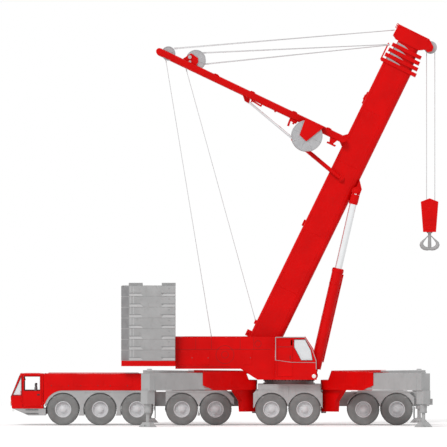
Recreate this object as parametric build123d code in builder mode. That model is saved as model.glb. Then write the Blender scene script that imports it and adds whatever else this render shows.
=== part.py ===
# All-terrain mobile crane on nine axles: carrier, slewing superstructure, telescopic boom
# with two guy masts, slab counterweight and star outriggers, in its working stance.
# Millimetres, +Z up, +X towards the carrier's rear, which the boom leans over.
# The origin is at ground level under the middle of the crane's outer box.
# Distances along X named *_x are measured from the slewing axis, which stands at slew_x.
import os
from math import cos, radians, sin

from build123d import *

os.makedirs("parts", exist_ok=True)

# ---- overall ----
body_width = 3000
front_x = -13000  # front bumper
fit = 0.4  # round a pin, shaft or rod, and between faces that slide

# ---- wheels and axles ----
tyre_radius = 746
tyre_width = 445
track_outer = 1500
kingpin_inset = 110  # kingpin inboard of the tyre's inner face
axle_tube_radius = 95
spindle_radius = 71
hub_bore = spindle_radius + fit
steered_axle_xs = [-10553, -8822, 5026]  # axles 1, 2 and 9
fixed_axle_xs = [-7100, -5012, -3435, -833, 721, 3463]  # axles 3 to 8
wheel_y = track_outer - tyre_width / 2
kingpin_y = track_outer - tyre_width - kingpin_inset

# ---- carrier ----
frame_half_width = 430
frame_bottom = 880
frame_top = 1540
frame_rear_x = 6560
frame_plate = 40
deck_plate_z = 1560  # top of the wing plates over the wheels
wing_thickness = 20
body_bottom = 1633
body_top = 2396
body_rear_x = -6707
body_front_x = -11360
cab_front_x = front_x
cab_bottom = 786
cab_wall = 60
screen_foot_z = 1254
screen_top_x = -12547
middle_top = 1975
middle_half_length = 1440
ring_radius = 1150
ring_top = 2115

# ---- star outriggers ----
hinge_x = 1619  # either side of the slewing axis
hinge_y = 860
arm_width = 600
arm_bottom = 1657
arm_top = 2518
arm_wall = 28
arm_end = 3900
arm_root = 250
root_width = 260
root_bottom = 636
root_reach = 950
root_sweep = 1440  # clear radius round a rear hinge at the wings' height
inner_gap = 8
inner_tail = 2960
nose_length = 440  # low part of the beam's tail, which goes under the arm's slope
jack_radius = 160
jack_rod_radius = 85
pad_length = 480
pad_width = 730
pad_height = 220
front_reach, front_angle = 7400, 48.0
rear_reach, rear_angle = 7151, 50.3

# ---- superstructure ----
body_under = 2635
deck_under = 2130
super_top = 4128
super_rear_x = -5310
super_front_x = 1290
side_box_width = 350  # each longitudinal side box
side_box_y = body_width / 2 - side_box_width
slab_half_width = 2150
slab_inner_y = 700
slab_front_x = -5318
slab_rear_x = -7830
slab_step = 499
slab_count = 7
slab_bottom = 3019
base_plate_bottom = 2766

# ---- boom ----
boom_angle = 64.0
boom_pivot_x, boom_pivot_z = -1420, 3410
boom_half_height = 716
boom_half_width = 600
boom_wall = 22
boom_start = -520
section_step = 48  # each section's shell inside the one before
section_count = 4

head_sheave_u, head_sheave_v = 16330, -986
block_offset = -47  # the hook block from the head sheaves' axis
block_half_top = 410

# the slewing axis from the origin, which is midway between the bumper and the hook block
hook_reach = (boom_pivot_x + head_sheave_u * cos(radians(boom_angle)) - head_sheave_v * sin(radians(boom_angle))
              + block_offset + block_half_top)
slew_x = -(front_x + hook_reach) / 2

# ---- luffing cylinders ----
luff_foot_x, luff_foot_z = 1156, 2317
luff_eye_u, luff_eye_v = 8750, -800  # on the boom, from its pivot
luff_y = 880
barrel_radius = 250
barrel_length = 5100
rod_radius = 165
eye_radius = 190
luff_pin_radius = 85

# ---- guy masts ----
mast_angle = 154.5
mast_length = 9514
mast_foot_y = 950
mast_tip_y = 1750
mast_half_depth = 150
mast_half_width = 110
mast_barrel_length = 2975
mast_rod_radius = 55
mast_rod_tail = 2880


def side(y=0):
    # upright plane along the crane, facing -Y: x from the slewing axis, y is height
    return Plane((slew_x, y, 0), x_dir=(1, 0, 0), z_dir=(0, -1, 0))


def level(z):
    # flat plane at height z, with its origin on the slewing axis
    return Plane((slew_x, 0, z))


def save(builder, label):
    builder.part.label = label
    export_step(builder.part, f"parts/{label}.step")


def box(x0, x1, y0, y1, z0, z1, mode=Mode.ADD):
    # a block between two corners, measured from the slewing axis, in the open part
    with Locations((slew_x + (x0 + x1) / 2, (y0 + y1) / 2, (z0 + z1) / 2)):
        Box(abs(x1 - x0), abs(y1 - y0), abs(z1 - z0), mode=mode)


# ======== carrier: frame, axles and wings ========
neck_rear_x = -10950
bumper_bottom = 459
bumper_rear_x = -11386
hitch_bore = 25

with BuildPart() as chassis_frame:
    box(neck_rear_x, frame_rear_x, -frame_half_width, frame_half_width, frame_bottom, frame_top)
    inner = frame_half_width - frame_plate
    box(neck_rear_x + 200, frame_rear_x - 100, -inner, inner,
        frame_bottom + frame_plate, frame_top - frame_plate, Mode.SUBTRACT)
    # gooseneck down to the bumper, under the low cab
    box(bumper_rear_x + 20, neck_rear_x + 1, -frame_half_width, frame_half_width, bumper_bottom + 60, frame_top)
    with BuildSketch(side()):
        with BuildLine():
            Polyline((front_x + 83, cab_bottom), (-12168, bumper_bottom),
                     (bumper_rear_x + 20, bumper_bottom), (bumper_rear_x + 20, cab_bottom), close=True)
        make_face()
    extrude(amount=body_width / 2 - 40, both=True)
    box(-12450, bumper_rear_x - 30, -1380, -500, bumper_bottom + 50, cab_bottom - 50, Mode.SUBTRACT)
    box(-12450, bumper_rear_x - 30, 500, 1380, bumper_bottom + 50, cab_bottom - 50, Mode.SUBTRACT)
    # the bumper's corners are opened behind for the steered wheels
    for s in (-1, 1):
        box(-11515, bumper_rear_x + 25, s * 480, s * 1435, bumper_bottom - 1, cab_bottom + 1, Mode.SUBTRACT)
    # tow hitch at the rear, bored upright for a coupling pin
    box(frame_rear_x - 1, frame_rear_x + 160, -160, 160, frame_bottom + 60, frame_bottom + 340)
    with Locations((slew_x + frame_rear_x + 80, 0, frame_bottom + 200)):
        Cylinder(hitch_bore, 300, mode=Mode.SUBTRACT)
save(chassis_frame, "chassis_frame")

with BuildPart() as axle_beams:
    for x in steered_axle_xs[:2]:
        with Locations((slew_x + x, 0, tyre_radius)):
            Cylinder(axle_tube_radius, 2 * (kingpin_y - 150), rotation=(90, 0, 0))
    for x in fixed_axle_xs + steered_axle_xs[2:]:
        with Locations((slew_x + x, 0, tyre_radius)):
            Cylinder(axle_tube_radius, 2 * (wheel_y - tyre_width / 2 - 25), rotation=(90, 0, 0))
            Cylinder(spindle_radius, 2 * (wheel_y + 40), rotation=(90, 0, 0))
    for x in fixed_axle_xs + steered_axle_xs:
        # final drive housing and the seats under the frame rails
        with Locations((slew_x + x, 0, tyre_radius)):
            Sphere(130)
        for y in (-300, 300):
            box(x - 110, x + 110, y - 80, y + 80, tyre_radius, frame_bottom)
    for x in steered_axle_xs[:2]:
        for s in (-1, 1):
            # fork that carries the kingpin above and below the knuckle
            box(x - 80, x + 80, s * (kingpin_y - 190), s * (kingpin_y - 130), tyre_radius - 230, tyre_radius + 230)
            for z in (tyre_radius - 230, tyre_radius + 170):
                box(x - 80, x + 80, s * (kingpin_y - 190), s * (kingpin_y + 50), z, z + 60)
save(axle_beams, "axle_beams")

# each wing is a flat plate over the tyres of one group of axles
#         front x, rear x
wing_spans = [(-9560, -6370), (-5750, -2560), (2560, 5810)]
with BuildPart() as carrier_wings:
    for x0, x1 in wing_spans:
        for s in (-1, 1):
            box(x0, x1, s * frame_half_width, s * track_outer, deck_plate_z - wing_thickness - 5, deck_plate_z - 5)
            # hanger down the frame's side, under the plate
            box(x0 + 40, x1 - 40, s * frame_half_width, s * (frame_half_width + 30), deck_plate_z - 260,
                deck_plate_z - 5)
    # room for the rear arms' root plates to swing past
    for s in (-1, 1):
        with Locations((slew_x + hinge_x, s * hinge_y, deck_plate_z - 150)):
            Cylinder(root_sweep, 400, mode=Mode.SUBTRACT)
save(carrier_wings, "carrier_wings")

# ======== carrier: front body, engine and cab ========
body_wall = 24
arch_radius = 885
arch_x = steered_axle_xs[0]
body_skin = 60  # the side skin that hangs down ahead of the first wheel
skin_bottom = 975

with BuildPart() as carrier_body:
    with BuildSketch(side()):
        with BuildLine():
            Polyline((body_front_x, body_top), (body_rear_x + 90, body_top), (body_rear_x - 60, body_bottom),
                     (body_front_x, body_bottom), close=True)
        make_face()
    extrude(amount=body_width / 2, both=True)
    box(body_front_x + body_wall, body_rear_x - 120, -body_width / 2 + body_wall, body_width / 2 - body_wall,
        body_bottom - 1, body_top - body_wall, Mode.SUBTRACT)
    # cross bearers that stand the body on the frame
    for x in (-11000, -9300, -7100):
        box(x - 60, x + 60, -body_width / 2 + 5, body_width / 2 - 5, body_bottom - 1, body_bottom + 120)
        box(x - 60, x + 60, -frame_half_width, frame_half_width, frame_top, body_bottom + 20)
    # skins that hang down behind the cab, cut by the first wheel's arch
    for s in (-1, 1):
        box(body_front_x - 105, arch_x, s * (body_width / 2 - body_skin), s * body_width / 2,
            skin_bottom, body_bottom + 200)
        box(body_front_x - 105, body_front_x + 30, s * (body_width / 2 - body_skin), s * body_width / 2,
            body_bottom, body_top)
    with Locations((slew_x + arch_x, 0, tyre_radius)):
        Cylinder(arch_radius, body_width + 10, rotation=(90, 0, 0), mode=Mode.SUBTRACT)
save(carrier_body, "carrier_body")

engine_x, engine_length = -8150, 1900
with BuildPart() as engine_block:
    box(engine_x - engine_length / 2 + 250, engine_x + engine_length / 2 - 250, -420, 420, frame_top, 2200)
save(engine_block, "engine_block")

cab_half_width = 1480
cab_rear_x = -11480
door_front_x, door_rear_x = -12440, -11560
door_bottom, door_top = 860, 2330
door_gap = 9
hinge_pin_radius = 7
hinge_zs = (door_bottom + 180, door_top - 220)
sill_z = 1629
pane = 6


def cab_side(inset=0):
    # corners of the cab seen from its side, shrunk by the wall
    return [(cab_front_x + 61 + inset, cab_bottom + inset), (cab_front_x + inset * 1.05, screen_foot_z),
            (screen_top_x + inset * 0.6, body_top - inset), (cab_rear_x - inset, body_top - inset),
            (cab_rear_x - inset, cab_bottom + inset)]


screen_run = screen_top_x - cab_front_x
screen_rise = body_top - screen_foot_z
screen_length = (screen_run**2 + screen_rise**2) ** 0.5
screen_plane = Plane((slew_x + (cab_front_x + screen_top_x) / 2, 0, (screen_foot_z + body_top) / 2),
                     x_dir=(0, 1, 0), z_dir=(-screen_rise, 0, screen_run))
screen_size = (2 * cab_half_width - 300, screen_length - 210)
quarter_window = [(-12905, 1425), (-12500, 2300), (-12500, 1425)]
door_window = (-12370, -11640, sill_z, 2270)

with BuildPart() as carrier_cab_shell:
    with BuildSketch(side()):
        Polygon(*cab_side(), align=None)
    extrude(amount=cab_half_width, both=True)
    with BuildSketch(side()):
        Polygon(*cab_side(cab_wall), align=None)
    extrude(amount=cab_half_width - cab_wall, both=True, mode=Mode.SUBTRACT)
    with BuildSketch(screen_plane):
        Rectangle(*screen_size)
    extrude(amount=160, both=True, mode=Mode.SUBTRACT)
    with BuildSketch(side()):
        Polygon(*quarter_window, align=None)
    extrude(amount=body_width, both=True, mode=Mode.SUBTRACT)
    for s in (-1, 1):
        box(door_front_x, door_rear_x, s * (cab_half_width - cab_wall - 10), s * (cab_half_width + 10),
            door_bottom, door_top, Mode.SUBTRACT)
        # door hinge pins, each held by an ear above and below its knuckle
        for z in hinge_zs:
            with Locations((slew_x + door_front_x, s * (cab_half_width + 14), z)):
                Cylinder(hinge_pin_radius, 130)
            for ear in (-56, 56):
                box(door_front_x - 60, door_front_x + 5, s * (cab_half_width - 1), s * (cab_half_width + 24),
                    z + ear - 9, z + ear + 9)
    # rear window
    box(cab_rear_x - cab_wall - 10, cab_rear_x + 10, -520, 520, 1700, 2200, Mode.SUBTRACT)
save(carrier_cab_shell, "carrier_cab_shell")

with BuildPart() as carrier_cab_glass:
    with BuildSketch(screen_plane.offset(-30)):
        Rectangle(screen_size[0] - 1, screen_size[1] - 1)
    extrude(amount=pane)
    for s in (-1, 1):
        with BuildSketch(side(s * (cab_half_width - 26))):
            Polygon((-12880, 1425.3), (-12500.3, 2250), (-12500.3, 1425.3), align=None)
        extrude(amount=pane / 2, both=True)
    box(cab_rear_x - 40, cab_rear_x - 40 + pane, -519.7, 519.7, 1700.3, 2199.7)
save(carrier_cab_glass, "carrier_cab_glass")

for side_name, s in (("left", -1), ("right", 1)):
    with BuildPart() as door:
        box(door_front_x + door_gap, door_rear_x - door_gap, s * (cab_half_width - cab_wall), s * cab_half_width,
            door_bottom + door_gap, door_top - door_gap)
        x0, x1, z0, z1 = door_window
        box(x0, x1, s * (cab_half_width - cab_wall - 5), s * (cab_half_width + 5), z0, z1, Mode.SUBTRACT)
        # hinge knuckles outside the front edge
        for z in hinge_zs:
            with Locations((slew_x + door_front_x, s * (cab_half_width + 14), z)):
                Cylinder(13, 90)
                Cylinder(hinge_pin_radius + fit, 90, mode=Mode.SUBTRACT)
            box(door_front_x + 12, door_front_x + 90, s * cab_half_width, s * (cab_half_width + 10), z - 40, z + 40)
    save(door, f"carrier_cab_door_{side_name}")

seat_x = -12050
with BuildPart() as carrier_cab_seats:
    for y in (-800, 800):
        box(seat_x - 230, seat_x + 230, y - 240, y + 240, 1180, 1300)
        box(seat_x + 150, seat_x + 270, y - 230, y + 230, 1300 + fit, 1950)
        box(seat_x - 150, seat_x + 150, y - 150, y + 150, cab_bottom + cab_wall, 1180)
save(carrier_cab_seats, "carrier_cab_seats")

# ======== carrier: outrigger centre with the hinge pins and the slewing ring ========
pin_radius = 60
pin_bottom = 560
lug_gap = 3
lug_reach = 112
mid_lug_bottom = 1560

with BuildPart() as outrigger_centre:
    box(-middle_half_length, middle_half_length, -1480, 1480, frame_top, middle_top - 60)
    box(-middle_half_length + 60, middle_half_length - 60, -1380, 1380, frame_top - 1, middle_top - 160, Mode.SUBTRACT)
    box(-middle_half_length + 59, middle_half_length - 59, -frame_half_width, frame_half_width,
        frame_top, middle_top - 120)
    with Locations((slew_x, 0, middle_top - 30)):
        Cylinder(ring_radius + 60, 61)
    with Locations((slew_x, 0, (middle_top + ring_top) / 2)):
        Cylinder(ring_radius, ring_top - middle_top)
        Cylinder(ring_radius - 170, ring_top - middle_top + 10, mode=Mode.SUBTRACT)
    for sx in (-1, 1):
        for sy in (-1, 1):
            x, y = sx * hinge_x, sy * hinge_y
            with Locations((slew_x + x, y, (pin_bottom + mid_lug_bottom + 60) / 2)):
                Cylinder(pin_radius, mid_lug_bottom + 60 - pin_bottom)
            # lug between the arm's two hubs, and the lower one under them
            for z0, z1, x_in in ((mid_lug_bottom, arm_bottom - lug_gap, middle_half_length - 20),
                                 (pin_bottom, root_bottom - lug_gap, hinge_x)):
                with BuildSketch(level(z0)):
                    with Locations((x, y)):
                        Circle(lug_reach)
                    if x_in < hinge_x:
                        with Locations(((x + sx * x_in) / 2, y)):
                            Rectangle(abs(abs(x) - x_in), 2 * lug_reach)
                    else:
                        with Locations((x, (y + sy * 380) / 2)):
                            Rectangle(2 * lug_reach, abs(y) - 380)
                extrude(amount=z1 - z0)
            # hanger from the frame to the lower lug
            box(x - lug_reach, x + lug_reach, sy * 300, sy * frame_half_width, pin_bottom, frame_bottom)
save(outrigger_centre, "outrigger_centre")

# ======== wheels and knuckles ========


# tyre, rim and disc in one turned shape: w is outboard of the tyre's middle, r is from the axle
half_tread = tyre_width / 2
wheel_outline = [(-150, tyre_radius), (150, tyre_radius), (205, 722), (half_tread, 560), (205, 400), (190, 345),
                 (-30, 330), (-30, 150), (40, 150), (40, hub_bore), (-110, hub_bore), (-110, 150), (-70, 165),
                 (-70, 345), (-190, 345), (-205, 400), (-half_tread, 560), (-205, 722)]


def axle_line(x):
    return Axis((slew_x + x, 0, tyre_radius), (0, 1, 0))


def wheel_section(x, s):
    # upright plane across the crane through one wheel, its x outboard
    return Plane((slew_x + x, s * wheel_y, tyre_radius), x_dir=(0, s, 0), z_dir=(s, 0, 0))


for number, x in enumerate(steered_axle_xs[:2], start=1):
    for side_name, s in (("left", -1), ("right", 1)):
        with BuildPart() as wheel:
            with BuildSketch(wheel_section(x, s)):
                Polygon(*wheel_outline, align=None)
            revolve(axis=axle_line(x))
        save(wheel, f"wheel_{number}_{side_name}")
        with BuildPart() as knuckle:
            with Locations((slew_x + x, s * kingpin_y, tyre_radius)):
                Cylinder(62, 2 * (170 - fit))
            with Locations((slew_x + x, s * (kingpin_y + wheel_y + 40) / 2, tyre_radius)):
                Cylinder(spindle_radius, wheel_y + 40 - kingpin_y, rotation=(90, 0, 0))
            box(x - 60, x + 60, s * kingpin_y, s * (kingpin_y + 85), tyre_radius - 120, tyre_radius + 120)
            # track-rod arm behind the kingpin
            box(x + 20, x + 260, s * (kingpin_y - 25), s * (kingpin_y + 25), tyre_radius - 60, tyre_radius - 20)
        save(knuckle, f"knuckle_{number}_{side_name}")

for number, x in zip((3, 4, 5, 6, 7, 8, 9), fixed_axle_xs + steered_axle_xs[2:]):
    with BuildPart() as wheels:
        for s in (-1, 1):
            with BuildSketch(wheel_section(x, s)):
                Polygon(*wheel_outline, align=None)
            revolve(axis=axle_line(x))
    save(wheels, f"wheels_axle_{number}")

# ======== star outriggers ========
# In an arm's own plane, s runs outwards from its hinge and z is height.
inner_half_width = arm_width / 2 - arm_wall - inner_gap
inner_bottom = arm_bottom + arm_wall + inner_gap
inner_top = arm_top - arm_wall - inner_gap
slope_start, slope_end = 720, 958
nose_top = ring_top - 18 - arm_wall - inner_gap
full_tail = inner_tail + nose_length + slope_end - slope_start
head_half = 250

#            name            x side, y side, reach, angle from the X axis
outriggers = [("front_left", -1, -1, front_reach, front_angle),
              ("front_right", -1, 1, front_reach, front_angle),
              ("rear_left", 1, -1, rear_reach, rear_angle),
              ("rear_right", 1, 1, rear_reach, rear_angle)]

for name, sx, sy, reach, angle in outriggers:
    out_x, out_y = sx * cos(radians(angle)), sy * sin(radians(angle))
    hinge = (slew_x + sx * hinge_x, sy * hinge_y)
    jack = (hinge[0] + reach * out_x, hinge[1] + reach * out_y)
    upright = Plane((*hinge, 0), x_dir=(out_x, out_y, 0), z_dir=(out_y, -out_x, 0))

    with BuildPart() as outer_arm:
        with BuildSketch(upright):
            # the box beam, cut back on a slant under its open end
            Polygon((arm_root, arm_bottom), (3095, arm_bottom), (arm_end, 1895), (arm_end, arm_top),
                    (slope_end, arm_top), (slope_start, ring_top - 18), (arm_root, ring_top - 18), align=None)
        extrude(amount=arm_width / 2, both=True)
        with BuildSketch(upright):
            Polygon((arm_root + arm_wall, arm_bottom + arm_wall), (arm_end + 1, arm_bottom + arm_wall),
                    (arm_end + 1, arm_top - arm_wall), (slope_end + 20, arm_top - arm_wall),
                    (slope_start + 20, ring_top - 18 - arm_wall), (arm_root + arm_wall, ring_top - 18 - arm_wall),
                    align=None)
        extrude(amount=arm_width / 2 - arm_wall, both=True, mode=Mode.SUBTRACT)
        with BuildSketch(upright):
            Polygon((arm_end - 1, arm_top - 14), (4312, arm_top - 14), (4312, arm_top), (arm_end - 1, arm_top),
                    align=None)
        extrude(amount=arm_width / 2, both=True)
        with BuildSketch(upright):
            # the deep root plate between the wheels
            Polygon((0, root_bottom), (root_reach, root_bottom), (root_reach + 40, 1133), (1500, arm_bottom + 10),
                    (arm_root + 20, arm_bottom + 10), (arm_root + 20, ring_top - 20), (0, ring_top - 20), align=None)
        extrude(amount=root_width / 2, both=True)
        with Locations((*hinge, (root_bottom + ring_top - 20) / 2)):
            Cylinder(root_width / 2, ring_top - 20 - root_bottom)
            Cylinder(pin_radius + fit, ring_top, mode=Mode.SUBTRACT)
        with Locations((*hinge, (mid_lug_bottom + arm_bottom) / 2)):
            Cylinder(root_width / 2 + 30, arm_bottom - mid_lug_bottom + 2 * lug_gap, mode=Mode.SUBTRACT)
    save(outer_arm, f"outrigger_arm_{name}")

    with BuildPart() as inner_arm:
        with BuildSketch(upright):
            Polygon((inner_tail, inner_bottom), (reach + jack_radius, inner_bottom), (reach + jack_radius, inner_top),
                    (full_tail, inner_top), (inner_tail + nose_length, nose_top), (inner_tail, nose_top), align=None)
        extrude(amount=inner_half_width, both=True)
        with BuildSketch(upright):
            Polygon((inner_tail - 1, inner_bottom + arm_wall), (reach - head_half - 60, inner_bottom + arm_wall),
                    (reach - head_half - 60, inner_top - arm_wall), (full_tail + 15, inner_top - arm_wall),
                    (inner_tail + nose_length + 15, nose_top - arm_wall), (inner_tail - 1, nose_top - arm_wall),
                    align=None)
        extrude(amount=inner_half_width - arm_wall, both=True, mode=Mode.SUBTRACT)
        # wear pads, under the beam's tail and over its full height
        for z, pad_s in ((inner_bottom - inner_gap + fit, inner_tail + 150), (inner_top - 1, full_tail + 120)):
            with BuildSketch(Plane((*hinge, z), x_dir=(out_x, out_y, 0))):
                with Locations((pad_s, 0)):
                    Rectangle(200, 240)
            extrude(amount=inner_gap - fit + 1)
        # clamp round the jack, under the beam
        with BuildSketch(upright):
            Polygon((reach - head_half, 1067), (reach + head_half, 1067), (reach + head_half, inner_bottom),
                    (reach - head_half, inner_bottom), align=None)
        extrude(amount=210, both=True)
        with Locations((*jack, (646 + inner_top) / 2)):
            Cylinder(jack_radius, inner_top - 646)
        with Locations((*jack, (640 + 2200) / 2)):
            Cylinder(jack_rod_radius + fit, 2200 - 640, mode=Mode.SUBTRACT)
    save(inner_arm, f"outrigger_beam_{name}")

    with BuildPart() as jack_foot:
        with Locations((*jack, (pad_height + 1750) / 2)):
            Cylinder(jack_rod_radius, 1750 - pad_height)
        with BuildSketch(Plane((*jack, 0), x_dir=(out_x, out_y, 0))):
            Rectangle(pad_length, pad_width)
        with BuildSketch(Plane((*jack, pad_height), x_dir=(out_x, out_y, 0))):
            Rectangle(pad_length * 0.55, pad_width * 0.55)
        loft()
    save(jack_foot, f"outrigger_foot_{name}")

# ======== superstructure ========
floor_top = 2760
front_floor_top = 2450
taper_rear_x, taper_front_x = -2260, -1483
side_front_top = 3000
cab_back_x = -650
opcab_front_x = 1273
opcab_inner_y = -side_box_y - 15
opcab_width = 890
opcab_wall = 50
opcab_floor_z = 2184
pivot_plate_y = 625
pivot_plate = 110
boom_pin_radius = 110
winch_z = 3407
#              x, drum radius, flange radius
winch_drums = [(-2960, 300, 430), (-4150, 300, 430)]

with BuildPart() as superstructure_frame:
    for s, x1 in ((-1, cab_back_x - 6), (1, super_front_x)):
        with BuildSketch(side(s * (side_box_y + side_box_width / 2))):
            Polygon((super_rear_x, body_under), (taper_rear_x, body_under), (taper_front_x, deck_under),
                    (x1, deck_under), (x1, side_front_top if s > 0 else super_top),
                    (cab_back_x - 6, side_front_top if s > 0 else super_top), (cab_back_x - 6, super_top),
                    (super_rear_x, super_top), align=None)
        extrude(amount=side_box_width / 2, both=True)
    # floor between the side boxes
    with BuildSketch(side()):
        Polygon((super_rear_x, body_under), (taper_rear_x, body_under), (taper_front_x, deck_under),
                (super_front_x, deck_under), (super_front_x, front_floor_top), (taper_front_x + 150, front_floor_top),
                (taper_rear_x + 200, floor_top), (super_rear_x, floor_top), align=None)
    extrude(amount=side_box_y + 2, both=True)
    # platform under the operator's cab
    box(cab_back_x - 10, opcab_front_x, opcab_inner_y - opcab_width, -side_box_y - 1, deck_under, opcab_floor_z - 0.3)
    box(cab_back_x - 10, opcab_front_x, -side_box_y - 12, -side_box_y + 2, deck_under, front_floor_top)
    # turntable flange over the ring
    with Locations((slew_x, 0, (ring_top + fit + deck_under + 1) / 2)):
        Cylinder(ring_radius, deck_under + 1 - ring_top - fit)
    # power pack housing across the rear
    box(super_rear_x, super_rear_x + 420, -side_box_y - 1, side_box_y + 1, floor_top - 1, super_top)
    # boom foot brackets and the boom pin
    for s in (-1, 1):
        with BuildSketch(side(s * (pivot_plate_y + pivot_plate / 2))):
            Polygon((-2150, front_floor_top - 50), (-700, front_floor_top - 50),
                    (boom_pivot_x + 260, boom_pivot_z + 180), (boom_pivot_x - 260, boom_pivot_z + 180), align=None)
        extrude(amount=pivot_plate / 2, both=True)
    with Locations((slew_x + boom_pivot_x, 0, boom_pivot_z)):
        Cylinder(boom_pin_radius, 2 * (pivot_plate_y + pivot_plate + 30), rotation=(90, 0, 0))
    # slots in the floor's front edge for the luffing cylinders' feet, with their cheeks and pins
    for s in (-1, 1):
        box(luff_foot_x - 260, super_front_x + 1, s * (luff_y - 112), s * (luff_y + 112), deck_under - 20,
            front_floor_top + 1, Mode.SUBTRACT)
        for y in (luff_y - 137, luff_y + 137):
            with BuildSketch(side(s * y)):
                Polygon((luff_foot_x - 300, deck_under), (super_front_x, deck_under), (super_front_x, 2420),
                        (luff_foot_x + 60, 2560), (luff_foot_x - 120, 2560), (luff_foot_x - 300, front_floor_top),
                        align=None)
            extrude(amount=25, both=True)
        with Locations((slew_x + luff_foot_x, s * luff_y, luff_foot_z)):
            Cylinder(luff_pin_radius, 2 * 180, rotation=(90, 0, 0))
    # tray under the counterweight
    box(slab_rear_x, super_rear_x + 1, -slab_half_width, slab_half_width, base_plate_bottom, slab_bottom)
    box(slab_rear_x - 1, slab_rear_x + 900, -slab_inner_y + 100, slab_inner_y - 100, base_plate_bottom - 1,
        slab_bottom + 1, Mode.SUBTRACT)
save(superstructure_frame, "superstructure_frame")

with BuildPart() as counterweight_slabs:
    for number in range(slab_count):
        bottom = slab_bottom + number * slab_step
        for s in (-1, 1):
            with BuildSketch(level(bottom)):
                # each slab has its outer rear corner cut off
                Polygon((slab_rear_x, s * slab_inner_y), (slab_front_x, s * slab_inner_y),
                        (slab_front_x, s * slab_half_width), (slab_rear_x + 340, s * slab_half_width),
                        (slab_rear_x, s * (slab_half_width - 340)), align=None)
            extrude(amount=slab_step - 0.5)
    for s in (-1, 1):
        # lifting lugs on the top slabs
        for x in (slab_rear_x + 660, slab_front_x - 310):
            box(x - 320, x + 320, s * 1250, s * 1600, bottom + slab_step - 1, bottom + slab_step + 125)
save(counterweight_slabs, "counterweight_slabs")


def opcab_side(inset=0):
    # corners of the operator's cab seen from its side, shrunk by the wall
    return [(cab_back_x + inset, opcab_floor_z + inset), (opcab_front_x - inset, opcab_floor_z + inset),
            (opcab_front_x - inset, 3005), (1119 - inset, 3594), (767 - inset * 0.6, 4128 - inset),
            (cab_back_x + inset, 4128 - inset)]


opcab_y = opcab_inner_y - opcab_width / 2
opcab_half = opcab_width / 2
opcab_outer_y = opcab_inner_y - opcab_width
opcab_door = (-560, 170, 2270, 4030)
opcab_window = [(225, 3664), (557, 3042), (1090, 3042), (1010, 3500), (745, 4010), (225, 4010)]
front_panes = [((opcab_front_x, 2340), (opcab_front_x, 3005)), ((opcab_front_x, 3005), (1119, 3594)),
               ((1119, 3594), (805, 4055))]

with BuildPart() as operator_cab_shell:
    with BuildSketch(side(opcab_y)):
        Polygon(*opcab_side(), align=None)
    extrude(amount=opcab_half, both=True)
    with BuildSketch(side(opcab_y)):
        Polygon(*opcab_side(opcab_wall), align=None)
    extrude(amount=opcab_half - opcab_wall, both=True, mode=Mode.SUBTRACT)
    with BuildSketch(side(opcab_y)):
        Polygon(*opcab_window, align=None)
    extrude(amount=opcab_width, both=True, mode=Mode.SUBTRACT)
    # front glazing: one tall opening between the two front pillars
    with BuildSketch(side(opcab_y)):
        Polygon((opcab_front_x - 90, 2350), (opcab_front_x + 5, 2350), (opcab_front_x + 5, 3020), (1130, 3620),
                (820, 4090), (700, 4040), (1010, 3560), (opcab_front_x - 90, 2990), align=None)
    extrude(amount=opcab_half - 55, both=True, mode=Mode.SUBTRACT)
    box(-350, 550, opcab_y - 280, opcab_y + 280, 4128 - opcab_wall - 5, 4140, Mode.SUBTRACT)
    x0, x1, z0, z1 = opcab_door
    box(x0, x1, opcab_outer_y - 5, opcab_outer_y + opcab_wall + 5, z0, z1, Mode.SUBTRACT)
    for z in (z0 + 200, z1 - 200):
        with Locations((slew_x + x0, opcab_outer_y - 14, z)):
            Cylinder(hinge_pin_radius, 130)
        for ear in (-56, 56):
            box(x0 - 60, x0 + 5, opcab_outer_y - 24, opcab_outer_y + 1, z + ear - 9, z + ear + 9)
save(operator_cab_shell, "operator_cab_shell")

with BuildPart() as operator_cab_glass:
    for (xa, za), (xb, zb) in front_panes:
        run = ((xb - xa) ** 2 + (zb - za) ** 2) ** 0.5
        pane_plane = Plane((slew_x + (xa + xb) / 2, opcab_y, (za + zb) / 2), x_dir=(0, 1, 0),
                           z_dir=((zb - za) / run, 0, (xa - xb) / run))
        with BuildSketch(pane_plane.offset(-30)):
            Rectangle(2 * (opcab_half - 55.3), run - 30)
        extrude(amount=pane)
    for y in (opcab_outer_y + 20, opcab_inner_y - 20):
        with BuildSketch(side(y)):
            Polygon((225.3, 3664.2), (557.3, 3042.3), (1089.6, 3042.3), (1009.6, 3500), (744.7, 4009.7), (225.3, 4009.7),
                    align=None)
        extrude(amount=pane / 2, both=True)
    box(-349.7, 549.7, opcab_y - 279.7, opcab_y + 279.7, 4095, 4095 + pane)
save(operator_cab_glass, "operator_cab_glass")

with BuildPart() as operator_cab_door:
    x0, x1, z0, z1 = opcab_door
    box(x0 + door_gap, x1 - door_gap, opcab_outer_y, opcab_outer_y + opcab_wall, z0 + door_gap, z1 - door_gap)
    box(70, 140, opcab_outer_y - 5, opcab_outer_y + opcab_wall + 5, 3735, 3990, Mode.SUBTRACT)
    for z in (z0 + 200, z1 - 200):
        with Locations((slew_x + x0, opcab_outer_y - 14, z)):
            Cylinder(13, 90)
            Cylinder(hinge_pin_radius + fit, 90, mode=Mode.SUBTRACT)
        box(x0 + 12, x0 + 90, opcab_outer_y - 10, opcab_outer_y, z - 40, z + 40)
save(operator_cab_door, "operator_cab_door")

with BuildPart() as operator_seat:
    box(-330, 170, opcab_y - 250, opcab_y + 250, 2700, 2820)
    box(-330, -210, opcab_y - 230, opcab_y + 230, 2820 + fit, 3560)
    box(-250, 90, opcab_y - 170, opcab_y + 170, opcab_floor_z + opcab_wall, 2700)
save(operator_seat, "operator_seat")

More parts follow.
